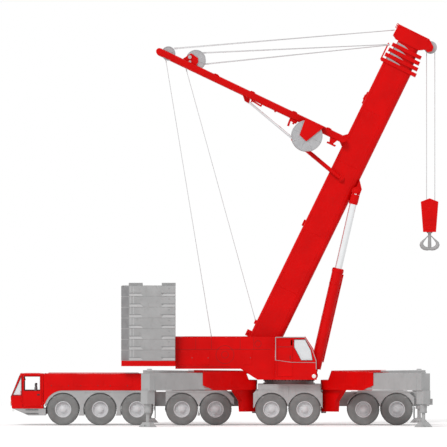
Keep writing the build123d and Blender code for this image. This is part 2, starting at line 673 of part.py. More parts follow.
with BuildPart() as hoist_winch:
    for x, drum, flange in winch_drums:
        with Locations((slew_x + x, 0, winch_z)):
            Cylinder(drum, 1000, rotation=(90, 0, 0))
            Cylinder(75, 2 * side_box_y, rotation=(90, 0, 0))
        for y in (-500, 500):
            with Locations((slew_x + x, y, winch_z)):
                Cylinder(flange, 50, rotation=(90, 0, 0))
save(hoist_winch, "hoist_winch")

# ======== boom ========
# Along the boom, u runs from its pivot to its head and v is square to it, up and back.
boom_c, boom_s = cos(radians(boom_angle)), sin(radians(boom_angle))


def boom_point(u, v, y=0):
    return (slew_x + boom_pivot_x + u * boom_c - v * boom_s, y, boom_pivot_z + u * boom_s + v * boom_c)


def boom_side(y=0):
    return Plane(boom_point(0, 0, y), x_dir=(boom_c, 0, boom_s), z_dir=(0, -1, 0))


def boom_cross(u):
    # section plane square to the boom: x is the crane's Y, y is v
    return Plane(boom_point(u, 0), x_dir=(0, 1, 0), z_dir=(boom_c, 0, boom_s))


collar_length = 170
collar_pitch = 280
collar_rise_back, collar_rise_belly = 126, 230
first_collar_end = 14930
belly_round, back_round = 240, 70


def half_size(step):
    # half height and half width of a boom section, the base being step 0
    return boom_half_height - step * section_step, boom_half_width - step * section_step


lug_u0, lug_u1 = 8237, 9304
mast_hinge_u, mast_hinge_v = 10670, 815
mast_hinge_radius = 80
mast_pin_u, mast_pin_v = 8965, 88
mast_cylinder_y = 735

section_ends = [first_collar_end + step * collar_pitch for step in range(section_count)]
head_u0 = 15960
section_tails = [boom_start, 700, 1000, 1300, 1600]

boom_builders = []
for step in range(section_count + 1):
    h, w = half_size(step)
    tail = section_tails[step]
    end = section_ends[step] if step < section_count else head_u0 + 40
    with BuildPart() as section:
        with BuildSketch(boom_cross(tail)) as shell:
            Rectangle(2 * w, 2 * h)
            fillet(shell.vertices().group_by(Axis.Y)[0], belly_round)
            fillet(shell.vertices().group_by(Axis.Y)[-1], back_round)
            offset(amount=-boom_wall, mode=Mode.SUBTRACT)
        extrude(amount=end - tail)
        if step > 0:
            # wear pads that slide in the section outside this one
            pad_rise = section_step - boom_wall - fit
            with BuildSketch(boom_cross(tail + 20)):
                for v in (-h - pad_rise / 2 + 1, h + pad_rise / 2 - 1):
                    with Locations((0, v)):
                        Rectangle(300, pad_rise + 2)
            extrude(amount=300)
        if step < section_count:
            # the collar round the open end
            with BuildSketch(boom_cross(end - collar_length)) as collar:
                with Locations((0, (collar_rise_back - collar_rise_belly) / 2)):
                    Rectangle(2 * w + 130, 2 * h + collar_rise_back + collar_rise_belly)
                fillet(collar.vertices(), 90)
                Rectangle(2 * w - 2 * boom_wall, 2 * h - 2 * boom_wall, mode=Mode.SUBTRACT)
            extrude(amount=collar_length)
        if step == 0:
            # foot: closed back, belly cut away towards the pivot, bored bosses for the pin
            with BuildSketch(boom_side()):
                Polygon((boom_start - 1, -h - 1), (500, -h - 1), (-260, -260), (boom_start - 1, -260), align=None)
            extrude(amount=w + 1, both=True, mode=Mode.SUBTRACT)
            for s in (-1, 1):
                with Locations(Plane(boom_point(0, 0, s * (w - 60)), z_dir=(0, 1, 0))):
                    Cylinder(250, 110)
            with Locations(Plane(boom_point(0, 0), z_dir=(0, 1, 0))):
                Cylinder(boom_pin_radius + fit, 2 * w + 10, mode=Mode.SUBTRACT)
            # belly lug inboard of the luffing cylinders' eyes
            with BuildSketch(boom_side()):
                Polygon((lug_u0, -h + 5), (8345, -1053), (8950, -1000), (lug_u1, -h + 5), align=None)
            extrude(amount=w - 4, both=True)
            # hinge lugs of the guy masts on the boom's back
            for y in (-470, 470):
                with BuildSketch(boom_side(y)):
                    Polygon((mast_hinge_u - 330, h - 5), (mast_hinge_u + 330, h - 5),
                            (mast_hinge_u + 130, mast_hinge_v + 130), (mast_hinge_u - 130, mast_hinge_v + 130),
                            align=None)
                extrude(amount=45, both=True)
            with Locations(Plane(boom_point(mast_hinge_u, mast_hinge_v), z_dir=(0, 1, 0))):
                Cylinder(mast_hinge_radius + fit, 1100, mode=Mode.SUBTRACT)
            # stubs on the boom's sides that carry the mast cylinders
            for s in (-1, 1):
                with Locations(Plane(boom_point(mast_pin_u, mast_pin_v, s * (w + 15)), z_dir=(0, 1, 0))):
                    Cylinder(95, 40)
                with Locations(Plane(boom_point(mast_pin_u, mast_pin_v, s * (w + 120)), z_dir=(0, 1, 0))):
                    Cylinder(45, 240)
        if step == section_count:
            # head frame with a sheave nose, closed at the top
            with BuildSketch(boom_side()):
                Polygon((head_u0, -h), (head_u0 + 60, -h - 120), (16130, -800), (16060, -960), (16200, -1120),
                        (16400, -1100), (16650, -760), (16660, 830), (head_u0 + 120, 850), (head_u0, 650),
                        align=None)
            extrude(amount=w + 60, both=True)
            with BuildSketch(boom_side()):
                Polygon((head_u0 + 60, -h + 60), (16600, -h + 60), (16600, 780), (head_u0 + 140, 780),
                        (head_u0 + 60, 640), align=None)
            extrude(amount=w - 20, both=True, mode=Mode.SUBTRACT)
            # slot for the head sheaves
            with BuildSketch(boom_side()):
                Polygon((15900, -640), (16720, -640), (16720, -1300), (15900, -1300), align=None)
            extrude(amount=250, both=True, mode=Mode.SUBTRACT)
    boom_builders.append(section)

for section, label in zip(boom_builders, ("boom_base", "boom_section_1", "boom_section_2", "boom_section_3",
                                          "boom_head")):
    save(section, label)

sheave_radius = 295
with BuildPart() as boom_head_sheaves:
    with Locations(Plane(boom_point(head_sheave_u, head_sheave_v), z_dir=(0, 1, 0))):
        Cylinder(60, 500 - 2 * fit)
    for y in (-180, -90, 0, 90, 180):
        with Locations(Plane(boom_point(head_sheave_u, head_sheave_v, y), z_dir=(0, 1, 0))):
            Cylinder(sheave_radius, 62)
save(boom_head_sheaves, "boom_head_sheaves")

# ======== luffing cylinders ========
luff_eye = boom_point(luff_eye_u, luff_eye_v)
luff_run = luff_eye[0] - slew_x - luff_foot_x
luff_rise = luff_eye[2] - luff_foot_z
luff_length = (luff_run**2 + luff_rise**2) ** 0.5
luff_c, luff_s = luff_run / luff_length, luff_rise / luff_length
rod_tail = 3620
barrel_neck = 330


def luff_cross(distance, y):
    # section plane square to a luffing cylinder, that far from its foot pin
    return Plane((slew_x + luff_foot_x + distance * luff_c, y, luff_foot_z + distance * luff_s),
                 x_dir=(0, 1, 0), z_dir=(luff_c, 0, luff_s))


with BuildPart() as luff_barrels:
    for s in (-1, 1):
        with Locations((slew_x + luff_foot_x, s * luff_y, luff_foot_z)):
            Cylinder(eye_radius, 200, rotation=(90, 0, 0))
        with BuildSketch(luff_cross(0, s * luff_y)):
            Rectangle(196, 240)
        extrude(amount=barrel_neck + 20)
        with Locations((slew_x + luff_foot_x, s * luff_y, luff_foot_z)):
            Cylinder(luff_pin_radius + fit, 260, rotation=(90, 0, 0), mode=Mode.SUBTRACT)
        with BuildSketch(luff_cross(barrel_neck, s * luff_y)):
            Circle(barrel_radius)
        extrude(amount=barrel_length - barrel_neck)
        with BuildSketch(luff_cross(barrel_neck + 230, s * luff_y)):
            Circle(rod_radius + fit)
        extrude(amount=barrel_length, mode=Mode.SUBTRACT)
save(luff_barrels, "luff_barrels")

with BuildPart() as luff_rods:
    for s in (-1, 1):
        with BuildSketch(luff_cross(rod_tail, s * luff_y)):
            Circle(rod_radius)
        extrude(amount=luff_length - rod_tail - 100)
        with Locations((luff_eye[0], s * luff_y, luff_eye[2])):
            Cylinder(eye_radius, 300, rotation=(90, 0, 0))
        with Locations((luff_eye[0], s * (boom_half_width + fit + luff_y + 190) / 2, luff_eye[2])):
            Cylinder(luff_pin_radius, luff_y + 190 - boom_half_width - fit, rotation=(90, 0, 0))
save(luff_rods, "luff_rods")

# ======== guy masts ========
# Along the masts, m runs from their hinge to their tips and n is square to it, away from the boom foot.
mast_c, mast_s = cos(radians(mast_angle)), sin(radians(mast_angle))
mast_hinge = boom_point(mast_hinge_u, mast_hinge_v)


def mast_point(m, n, y=0):
    return (mast_hinge[0] + m * mast_c + n * mast_s, y, mast_hinge[2] + m * mast_s - n * mast_c)


def mast_y(m):
    # how far out a mast's middle stands at m, for the masts spread towards their tips
    return mast_foot_y + (mast_tip_y - mast_foot_y) * m / mast_length


def mast_side(y):
    return Plane(mast_point(0, 0, y), x_dir=(mast_c, 0, mast_s), z_dir=(0, 1, 0))


def across(m, n, y=0):
    # plane facing along Y, centred on a point of the mast
    return Plane(mast_point(m, n, y), z_dir=(0, 1, 0))


mast_eye_m, mast_eye_n = 4806, -296
tip_sheave_m, tip_sheave_n, tip_sheave_radius = mast_length - 419, 110, 318
guy_sheave_m, guy_sheave_n, guy_sheave_radius = mast_length - 1708, 384, 463
drum_m, drum_n, drum_radius, drum_y, drum_width = 1596, -590, 730, 1405, 230
cross_tubes = [(2677, 80, 90), (5200, 60, 100), (6632, 20, 80)]  # m, n and radius

with BuildPart() as guy_masts:
    for s in (-1, 1):
        foot, tip = mast_point(0, 0, s * mast_foot_y), mast_point(mast_length, 0, s * mast_tip_y)
        run = [b - a for a, b in zip(foot, tip)]
        with BuildSketch(Plane(foot, x_dir=(mast_c, 0, mast_s), z_dir=(0, 1, 0))):
            Circle(mast_half_depth)
        extrude(amount=mast_half_width, both=True)
        with BuildSketch(Plane(foot, x_dir=(0, run[2], -run[1]), z_dir=run)) as mast_section:
            Rectangle(2 * mast_half_width, 2 * mast_half_depth)
            fillet(mast_section.vertices(), 40)
        extrude(amount=(run[0] ** 2 + run[1] ** 2 + run[2] ** 2) ** 0.5)
        with BuildSketch(Plane(tip, x_dir=(mast_c, 0, mast_s), z_dir=(0, 1, 0))):
            Circle(mast_half_depth)
        extrude(amount=mast_half_width, both=True)
        # cheek that carries the guy sheave, standing on the mast's inner face
        cheek_y = mast_y(guy_sheave_m) - mast_half_width - 20
        with BuildSketch(mast_side(s * cheek_y)):
            Polygon((guy_sheave_m - 90, -140), (guy_sheave_m + 560, -140), (guy_sheave_m + 560, 180),
                    (guy_sheave_m + 330, 560), (guy_sheave_m - 60, 500), (guy_sheave_m - 150, 320), align=None)
        extrude(amount=22, both=True)
        with Locations(across(guy_sheave_m, guy_sheave_n, s * (cheek_y - 70))):
            Cylinder(60, 120)
        with Locations(across(tip_sheave_m, 0, s * (mast_y(tip_sheave_m) - 110))):
            Cylinder(45, 190)
        # trapezoid plate that carries the guy winch, hung from two bars that clear its flanges
        with BuildSketch(mast_side(s * (drum_y + drum_width / 2 + 35))):
            Polygon((drum_m - 560, 145), (drum_m + 420, 145), (drum_m + 330, -700), (drum_m - 80, -840), align=None)
        extrude(amount=25, both=True)
        bracket_inner, bracket_outer = mast_y(drum_m), drum_y + drum_width / 2 + 40
        with BuildSketch(mast_side(s * (bracket_inner + bracket_outer) / 2)):
            for m0, m1 in ((-560, -325), (325, 420)):
                Polygon((drum_m + m0, 80), (drum_m + m1, 80), (drum_m + m1, 145), (drum_m + m0, 145), align=None)
        extrude(amount=(bracket_outer - bracket_inner) / 2, both=True)
        with Locations(across(drum_m, drum_n, s * (drum_y + 15))):
            Cylinder(60, drum_width + 40)
        # plate down to the mast cylinder's eye, outboard of it
        with BuildSketch(mast_side(s * (mast_cylinder_y + 132))):
            Polygon((mast_eye_m - 100, mast_eye_n - 90), (mast_eye_m + 120, mast_eye_n - 60), (5330, 60), (5050, 110),
                    (mast_eye_m - 90, mast_eye_n + 90), align=None)
        extrude(amount=22, both=True)
    with Locations(across(0, 0)):
        Cylinder(mast_hinge_radius, 2 * mast_foot_y)
    for m, n, radius in cross_tubes:
        with Locations(across(m, n)):
            Cylinder(radius, 2 * mast_y(m))
save(guy_masts, "guy_masts")

with BuildPart() as mast_drums:
    for s in (-1, 1):
        with Locations(across(drum_m, drum_n, s * drum_y)):
            Cylinder(430, drum_width)
        for end in (-1, 1):
            with Locations(across(drum_m, drum_n, s * drum_y + end * (drum_width / 2 - 15))):
                Cylinder(drum_radius, 30)
        with Locations(across(drum_m, drum_n, s * drum_y)):
            Cylinder(60 + fit, drum_width + 40, mode=Mode.SUBTRACT)
        for m, n, radius, y, width, bore in (
                (tip_sheave_m, tip_sheave_n, tip_sheave_radius, mast_y(tip_sheave_m) - mast_half_width - 80, 70, 45),
                (guy_sheave_m, guy_sheave_n, guy_sheave_radius, mast_y(guy_sheave_m) - mast_half_width - 100, 90, 60)):
            with Locations(across(m, n, s * y)):
                Cylinder(radius, width)
            with Locations(across(m, n if m == guy_sheave_m else 0, s * y)):
                Cylinder(bore + fit, width + 40, mode=Mode.SUBTRACT)
save(mast_drums, "mast_drums_and_sheaves")

# ======== mast cylinders ========
mast_pin = boom_point(mast_pin_u, mast_pin_v)
mast_eye = mast_point(mast_eye_m, mast_eye_n)
stay_run, stay_rise = mast_eye[0] - mast_pin[0], mast_eye[2] - mast_pin[2]
stay_length = (stay_run**2 + stay_rise**2) ** 0.5
stay_c, stay_s = stay_run / stay_length, stay_rise / stay_length


def stay_cross(distance, y):
    # section plane square to a mast cylinder, that far from its pin on the boom
    return Plane((mast_pin[0] + distance * stay_c, y, mast_pin[2] + distance * stay_s),
                 x_dir=(0, 1, 0), z_dir=(stay_c, 0, stay_s))


with BuildPart() as mast_cylinder_barrels:
    for s in (-1, 1):
        with Locations(Plane((mast_pin[0], s * mast_cylinder_y, mast_pin[2]), z_dir=(0, 1, 0))):
            Cylinder(100, 90)
        with BuildSketch(stay_cross(60, s * mast_cylinder_y)):
            Circle(94)
        extrude(amount=mast_barrel_length - 60)
        with Locations(Plane((mast_pin[0], s * mast_cylinder_y, mast_pin[2]), z_dir=(0, 1, 0))):
            Cylinder(45 + fit, 200, mode=Mode.SUBTRACT)
        with BuildSketch(stay_cross(150, s * mast_cylinder_y)):
            Circle(mast_rod_radius + fit)
        extrude(amount=mast_barrel_length, mode=Mode.SUBTRACT)
save(mast_cylinder_barrels, "mast_cylinder_barrels")

with BuildPart() as mast_cylinder_rods:
    for s in (-1, 1):
        with BuildSketch(stay_cross(mast_rod_tail, s * mast_cylinder_y)):
            Circle(mast_rod_radius)
        extrude(amount=stay_length - mast_rod_tail - 60)
        with Locations(Plane((mast_eye[0], s * mast_cylinder_y, mast_eye[2]), z_dir=(0, 1, 0))):
            Cylinder(90, 80)
        with Locations(Plane((mast_eye[0], s * (mast_cylinder_y + 53.8), mast_eye[2]), z_dir=(0, 1, 0))):
            Cylinder(40, 107.6)
save(mast_cylinder_rods, "mast_cylinder_rods")

# ======== hoist falls and hook block ========
head_sheave = boom_point(head_sheave_u, head_sheave_v)
fall_radius = 16
fall_ys = (-90, 0, 90)
block_x = head_sheave[0] + block_offset
fall_half_gap = 245
block_top, block_shoulder, block_waist = 10605, 10450, 9018
block_half_waist, block_half_width = 300, 230

with BuildPart() as hook_falls:
    for x, drop in ((block_x - fall_half_gap, 105.3), (block_x + fall_half_gap, 232.8)):
        for y in fall_ys:
            top = head_sheave[2] - drop
            with Locations((x, y, (top + block_shoulder + 40 + fit) / 2)):
                Cylinder(fall_radius, top - block_shoulder - 40 - fit)
save(hook_falls, "hook_falls")

with BuildPart() as hook_block:
    with BuildSketch(Plane((block_x, 0, 0), x_dir=(1, 0, 0), z_dir=(0, -1, 0))):
        Polygon((-block_half_top, block_shoulder), (-120, block_shoulder), (0, block_top), (120, block_shoulder),
                (block_half_top, block_shoulder), (block_half_waist, block_waist),
                (-block_half_waist, block_waist), align=None)
    extrude(amount=block_half_width, both=True)
    for s in (-1, 1):
        with Locations((block_x + s * fall_half_gap, 0, block_shoulder + 20)):
            Box(120, 260, 40)
    with Locations((block_x, 0, block_waist - 90)):
        Cylinder(110, 182)
    # ramshorn hook: a thick disc with two mouths
    with BuildSketch(Plane((block_x, 0, 0), x_dir=(1, 0, 0), z_dir=(0, -1, 0))):
        with Locations((0, 8560)):
            Circle(393)
        with Locations((-245, 8660), (245, 8660)):
            Circle(125, mode=Mode.SUBTRACT)
        for s in (-1, 1):
            Polygon((s * 180, 8750), (s * 340, 8700), (s * 500, 8900), (s * 120, 9010), align=None,
                    mode=Mode.SUBTRACT)
    extrude(amount=110, both=True)
save(hook_block, "hook_block")
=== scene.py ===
# Mobile crane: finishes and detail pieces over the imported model, in metres, +Z up, +X to the carrier's rear.
import math

import bpy
from mathutils import Matrix, Vector


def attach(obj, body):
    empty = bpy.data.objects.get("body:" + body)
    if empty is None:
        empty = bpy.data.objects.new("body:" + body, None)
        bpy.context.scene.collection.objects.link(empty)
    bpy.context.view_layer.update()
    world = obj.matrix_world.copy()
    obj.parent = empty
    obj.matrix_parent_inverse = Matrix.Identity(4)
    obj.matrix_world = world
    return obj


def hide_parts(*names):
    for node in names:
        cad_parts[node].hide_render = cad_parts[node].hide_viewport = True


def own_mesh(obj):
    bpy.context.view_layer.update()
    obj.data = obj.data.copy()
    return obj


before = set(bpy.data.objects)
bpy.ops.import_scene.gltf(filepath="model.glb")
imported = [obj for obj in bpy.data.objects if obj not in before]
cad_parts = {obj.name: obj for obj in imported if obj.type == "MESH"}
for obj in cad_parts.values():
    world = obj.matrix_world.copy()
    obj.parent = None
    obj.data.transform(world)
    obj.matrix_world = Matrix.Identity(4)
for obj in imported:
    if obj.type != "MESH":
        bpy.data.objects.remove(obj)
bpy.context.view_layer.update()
print("model loaded:", len(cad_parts), "nodes")

slewX = 3.0061  # the slewing axis
boomAngle = math.radians(64)
boomFoot = Vector((1.5861, 0, 3.41))
boomAlong = Vector((math.cos(boomAngle), 0, math.sin(boomAngle)))
boomBack = Vector((-math.sin(boomAngle), 0, math.cos(boomAngle)))  # towards the boom's upper side
mastAngle = math.radians(154.5)
mastFoot = Vector((5.531, 0, 13.3574))
mastAlong = Vector((math.cos(mastAngle), 0, math.sin(mastAngle)))
mastUp = Vector((math.sin(mastAngle), 0, -math.cos(mastAngle)))  # square to the masts, upwards
mastSpread = {"footY": 0.95, "spread": 0.8, "length": 9.514}  # how far the masts stand apart


def boomSpot(u, v, y=0.0):
    return boomFoot + boomAlong * u + boomBack * v + Vector((0, y, 0))


def mastSpot(m, n, y=0.0):
    return mastFoot + mastAlong * m + mastUp * n + Vector((0, y, 0))


def mastSide(m):
    # half the distance between the masts, m up from their hinge
    return mastSpread["footY"] + mastSpread["spread"] * m / mastSpread["length"]


# finishes
finishValues = {
    "craneRed": dict(color=(0.7, 0.0, 0.0), spread=0.1, roughness=0.46, dirt=0.12, coat=0.04, specular=0.1,
                     dirtColor=(0.3, 0.03, 0.02), streak=0.9),
    "carrierGrey": dict(color=(0.42, 0.42, 0.42), spread=0.1, roughness=0.5, dirt=0.3, streak=0.7),
    "slabGrey": dict(color=(0.4, 0.4, 0.4), spread=0.12, roughness=0.62, grain=1.6, dirt=0.32, streak=0.8),
    # painted shade: the darker grey of the slabs' cut corners and of the strips along the pockets' tops; also
    # the studs
    "paintedShadeAndStudGrey": dict(color=(0.27, 0.27, 0.275), spread=0.12, roughness=0.6, grain=3, dirt=0.3),
    "pocketGrey": dict(color=(0.52, 0.52, 0.52), spread=0.08, roughness=0.6, grain=3, dirt=0.25),
    "darkSteel": dict(color=(0.1, 0.1, 0.105), spread=0.25, roughness=0.55, dirt=0.45,
                      dirtColor=(0.16, 0.13, 0.1)),
    "blackTrim": dict(color=(0.025, 0.025, 0.027), spread=0.25, roughness=0.55, grain=6, dirt=0.25),
    "seamLine": dict(color=(0.16, 0.01, 0.01), spread=0.2, roughness=0.7, grain=5, dirt=0.3),
    "tyreRubber": dict(color=(0.215, 0.215, 0.212), spread=0.16, roughness=0.86, grain=3, dirt=0.4, bump=0.12,
                       specular=0.2, dirtColor=(0.3, 0.28, 0.25)),
    "rimSilver": dict(color=(0.66, 0.66, 0.67), spread=0.08, roughness=0.4, grain=4, dirt=0.28,
                      metallic=0.15),
    "rodChrome": dict(color=(0.86, 0.87, 0.88), spread=0.03, roughness=0.16, grain=3, dirt=0.04,
                      metallic=0.75),
    "sheaveGrey": dict(color=(0.46, 0.46, 0.47), spread=0.1, roughness=0.42, grain=4, dirt=0.25,
                       metallic=0.35),
    "ropeSteel": dict(color=(0.62, 0.62, 0.63), spread=0.12, roughness=0.5, grain=9, dirt=0.15, metallic=0.2),
    "seatCloth": dict(color=(0.3, 0.3, 0.31), spread=0.25, roughness=0.92, grain=12, dirt=0.12, bump=0.3,
                      specular=0.15),
    "cabLining": dict(color=(0.22, 0.22, 0.23), spread=0.12, roughness=0.8, grain=5, dirt=0.15),
    "lampWhite": dict(color=(0.85, 0.85, 0.82), spread=0.03, roughness=0.12, grain=5, dirt=0.05, coat=0.5),
    "lampAmber": dict(color=(0.9, 0.33, 0.02), spread=0.05, roughness=0.15, grain=5, dirt=0.05, coat=0.5)}
glassValues = {"dark": (0.8, 0.84, 0.86, 1), "pale": (0.93, 0.95, 0.96, 1), "smear": 2.5, "alpha": 0.78,
               "coat": 0.4, "roughness": (0.03, 0.12), "ripple": (0.05, 0.002)}


def setInputs(node, **values):
    # an underscore in a name stands for a space
    for name, value in values.items():
        node.inputs[name.replace("_", " ")].default_value = value
    return node


def addNode(tree, kind, **values):
    return setInputs(tree.nodes.new("ShaderNode" + kind), **values)


def newPaint(name):
    # an empty material with its tree and its shader
    material = bpy.data.materials.new(name)
    material.use_nodes = True
    return material, material.node_tree, material.node_tree.nodes["Principled BSDF"]


def addWear(tree, shader, patches, roughness, height, ripple):
    # roughness between two values over one noise, surface ripple (strength, distance) over another
    link = tree.links.new
    rough = addNode(tree, "MapRange", To_Min=roughness[0], To_Max=roughness[1])
    link(patches.outputs["Fac"], rough.inputs["Value"])
    link(rough.outputs["Result"], shader.inputs["Roughness"])
    bump = addNode(tree, "Bump", Strength=ripple[0], Distance=ripple[1])
    link(height.outputs["Fac"], bump.inputs["Height"])
    link(bump.outputs["Normal"], shader.inputs["Normal"])


def makeFinish(name, color, spread, roughness, metallic=0.0, grain=1.2, dirt=0.25, bump=0.03, coat=0.0,
               specular=0.4, dirtColor=(0.2, 0.18, 0.16), streak=0.0):
    # paint or metal with cloudy colour, wiped dirt and a slight surface ripple
    material, tree, shader = newPaint(name)
    link, place = tree.links.new, addNode(tree, "TexCoord").outputs["Object"]
    cloud = addNode(tree, "TexNoise", Scale=grain, Detail=6)
    link(place, cloud.inputs["Vector"])
    ramp = addNode(tree, "ValToRGB")
    low, high = ramp.color_ramp.elements
    low.position, high.position = 0.32, 0.7
    low.color = (*[c * (1 - spread) for c in color], 1)
    high.color = (*[min(1, c * (1 + spread * 0.5)) for c in color], 1)
    link(cloud.outputs["Fac"], ramp.inputs["Fac"])
    stretch = addNode(tree, "Mapping", Scale=(2.2, 2.2, 2.2 - 1.7 * streak))  # dirt runs down the sides
    link(place, stretch.inputs["Vector"])
    patches = addNode(tree, "TexNoise", Scale=grain * 2.3, Detail=9, Roughness=0.62)
    link(stretch.outputs["Vector"], patches.inputs["Vector"])
    edge = addNode(tree, "MapRange", From_Min=0.56, From_Max=0.8, To_Max=dirt)
    link(patches.outputs["Fac"], edge.inputs["Value"])
    mix = addNode(tree, "Mix")
    mix.data_type = "RGBA"
    setInputs(mix, B=(*dirtColor, 1))
    link(edge.outputs["Result"], mix.inputs["Factor"])
    link(ramp.outputs["Color"], mix.inputs["A"])
    link(mix.outputs["Result"], shader.inputs["Base Color"])
    fine = addNode(tree, "TexNoise", Scale=38 * grain, Detail=4)
    link(place, fine.inputs["Vector"])
    addWear(tree, shader, patches, (roughness * 0.8, min(1, roughness * 1.3)), fine, (0.35, bump * 0.05))
    setInputs(shader, Metallic=metallic, Coat_Weight=coat, Coat_Roughness=0.15, Specular_IOR_Level=specular)
    return material


def makeGlass(name):
    # thin milky pane with faint smears
    material, tree, shader = newPaint(name)
    smear = addNode(tree, "TexNoise", Scale=glassValues["smear"], Detail=5)
    tree.links.new(addNode(tree, "TexCoord").outputs["Object"], smear.inputs["Vector"])
    ramp = addNode(tree, "ValToRGB")
    for element, tone in zip(ramp.color_ramp.elements, ("dark", "pale")):
        element.color = glassValues[tone]
    tree.links.new(smear.outputs["Fac"], ramp.inputs["Fac"])
    tree.links.new(ramp.outputs["Color"], shader.inputs["Base Color"])
    addWear(tree, shader, smear, glassValues["roughness"], smear, glassValues["ripple"])
    setInputs(shader, Alpha=glassValues["alpha"], Coat_Weight=glassValues["coat"])
    return material


finishes = {name: makeFinish(name, **values) for name, values in finishValues.items()}
finishes["cabGlass"] = makeGlass("cabGlass")
# finishes of the CAD nodes by how their names begin
# the rest are red, and those that pieces replace don't show
nodeFinish = {
    "chassis_frame": "carrierGrey", "axle_beams": "darkSteel", "carrier_wings": "carrierGrey",
    "engine_block": "darkSteel", "carrier_cab_glass": "cabGlass", "knuckle": "darkSteel",
    "outrigger_centre": "carrierGrey", "outrigger_beam": "carrierGrey", "outrigger_foot": "carrierGrey",
    "counterweight_slabs": "slabGrey", "operator_cab_glass": "cabGlass", "hoist_winch": "sheaveGrey",
    "mast_drums_and_sheaves": "sheaveGrey", "boom_head_sheaves": "sheaveGrey", "luff_rods": "rodChrome",
    "mast_cylinder_rods": "rodChrome"}
for name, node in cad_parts.items():
    node.data.materials.clear()
    found = [finish for start, finish in nodeFinish.items() if name.startswith(start)]
    node.data.materials.append(finishes[found[0] if found else "craneRed"])
print("finishes made:", len(finishes))


# modelling helpers: each starts from a primitive and shapes it in edit mode
# angles in degrees: edges counted as sharp, and edges below which a surface is shaded smooth
shaping = {"facing": 0.9, "blockSharp": 60, "plateSharp": 50, "rodSmooth": 35, "turnedSmooth": 32,
           "padSmooth": 60,
           "merge": 0.0005, "pole": 0.001}
pad = {"cuts": 7, "rounding": 0.5, "rounds": 4, "weltHalf": 0.08, "weltOut": 1.018, "hollow": 0.05,
       "hollowHalf": 0.3}


def clearPicks():
    bpy.ops.object.select_all(action="DESELECT")


def active():
    return bpy.context.view_layer.objects.active


def pickParts(parts):
    clearPicks()
    for part in parts:
        part.select_set(True)
    bpy.context.view_layer.objects.active = parts[0]


def settle(obj):
    # the object back at the origin, unturned, its place in its mesh
    pickParts([obj])
    bpy.ops.object.transform_apply(location=True, rotation=True, scale=True)
    return obj


def joined(parts):
    pickParts(parts)
    if len(parts) > 1:
        bpy.ops.object.join()
    return settle(active())


def openMesh(action="SELECT"):
    bpy.ops.object.mode_set(mode="EDIT")
    bpy.ops.mesh.select_all(action=action)


def closeMesh():
    bpy.ops.object.mode_set(mode="OBJECT")


def smooth(degrees):
    bpy.ops.object.shade_smooth_by_angle(angle=math.radians(degrees))


def bevelPicked(width, segments=2, sharper=None):
    # the edges that are picked, or only those sharper than an angle in degrees
    if sharper:
        bpy.ops.mesh.edges_select_sharp(sharpness=math.radians(sharper))
    bpy.ops.mesh.bevel(offset=width, segments=segments, affect="EDGES", clamp_overlap=True)


def pickFaces(obj, test):
    # edit mode with the faces picked whose normal passes the test
    openMesh("DESELECT")
    closeMesh()
    for polygon in obj.data.polygons:
        polygon.select = test(polygon.normal)
    bpy.ops.object.mode_set(mode="EDIT")
    bpy.ops.mesh.select_mode(type="FACE")


def turnAbout(centre, axis, angle):
    return Matrix.Translation(Vector(centre)) @ Matrix.Rotation(angle, 4, Vector(axis)) @ Matrix.Translation(
        -Vector(centre))


def shift(x, y, z):
    return Matrix.Translation((x, y, z))


def block(low, high, bevel=0.01, inset=None, lean=None):
    # bevelled block between two corners
    # inset is (facing, border, depth): a panel sunk or raised on one side;
    # lean is (centre, axis, angle)
    clearPicks()
    low, high = Vector(low), Vector(high)
    bpy.ops.mesh.primitive_cube_add(size=1, location=(low + high) / 2)
    obj = active()
    obj.scale = [abs(b - a) for a, b in zip(low, high)]
    settle(obj)
    if inset:
        facing, border, depth = inset
        pickFaces(obj, lambda normal: normal.dot(Vector(facing)) > shaping["facing"])
        bpy.ops.mesh.inset(thickness=border, depth=0)
        bpy.ops.mesh.inset(thickness=abs(depth), depth=depth)
        closeMesh()
    if bevel:
        openMesh()
        if inset:
            bevelPicked(bevel, 1, shaping["blockSharp"])
        else:
            bevelPicked(bevel)
        closeMesh()
    if lean:
        obj.data.transform(turnAbout(*lean))
        obj.data.update()
    return obj


def panel(x0, x1, y, half, z0, z1, bevel=0.004, inset=None):
    # block between two xs and two zs, half its thickness to either side of y
    return block((x0, y - half, z0), (x1, y + half, z1), bevel, inset)


def rod(start, end, radius, sides=8, bevel=0.0, endRadius=None):
    # round bar from one point to another, its rims bevelled
    clearPicks()
    start, end = Vector(start), Vector(end)
    run = end - start
    if endRadius is None:
        bpy.ops.mesh.primitive_cylinder_add(vertices=sides, radius=radius, depth=run.length)
    else:
        bpy.ops.mesh.primitive_cone_add(vertices=sides, radius1=radius, radius2=endRadius, depth=run.length)
    obj = active()
    obj.rotation_mode = "QUATERNION"
    obj.rotation_quaternion = run.to_track_quat("Z", "Y")
    obj.location = (start + end) / 2
    settle(obj)
    if bevel:
        pickFaces(obj, lambda normal: abs(normal.dot(run.normalized())) > shaping["facing"])
        bevelPicked(bevel)
        closeMesh()
    smooth(shaping["rodSmooth"])
    return obj


def rodLine(points, radius, sides=8, ring=False):
    # round bars from point to point, and back to the first in a ring
    return [rod(a, b, radius, sides) for a, b in zip(points, points[1:] + (points[:1] if ring else []))]


def plate(corners, thickness, along=(0, 1, 0), bevel=0.008):
    # flat plate with these corners, in order, given thickness along a direction, centred on the corners
    clearPicks()
    along = Vector(along).normalized()
    bpy.ops.mesh.primitive_circle_add(vertices=len(corners), radius=1, fill_type="NGON")
    obj = active()
    for vertex, corner in zip(obj.data.vertices, corners):
        vertex.co = Vector(corner) - along * thickness / 2
    openMesh()
    bpy.ops.mesh.extrude_region_move(TRANSFORM_OT_translate={"value": along * thickness})
    bpy.ops.mesh.select_all(action="SELECT")
    bpy.ops.mesh.normals_make_consistent(inside=False)
    if bevel:
        bevelPicked(bevel, 1, shaping["plateSharp"])
    closeMesh()
    return obj


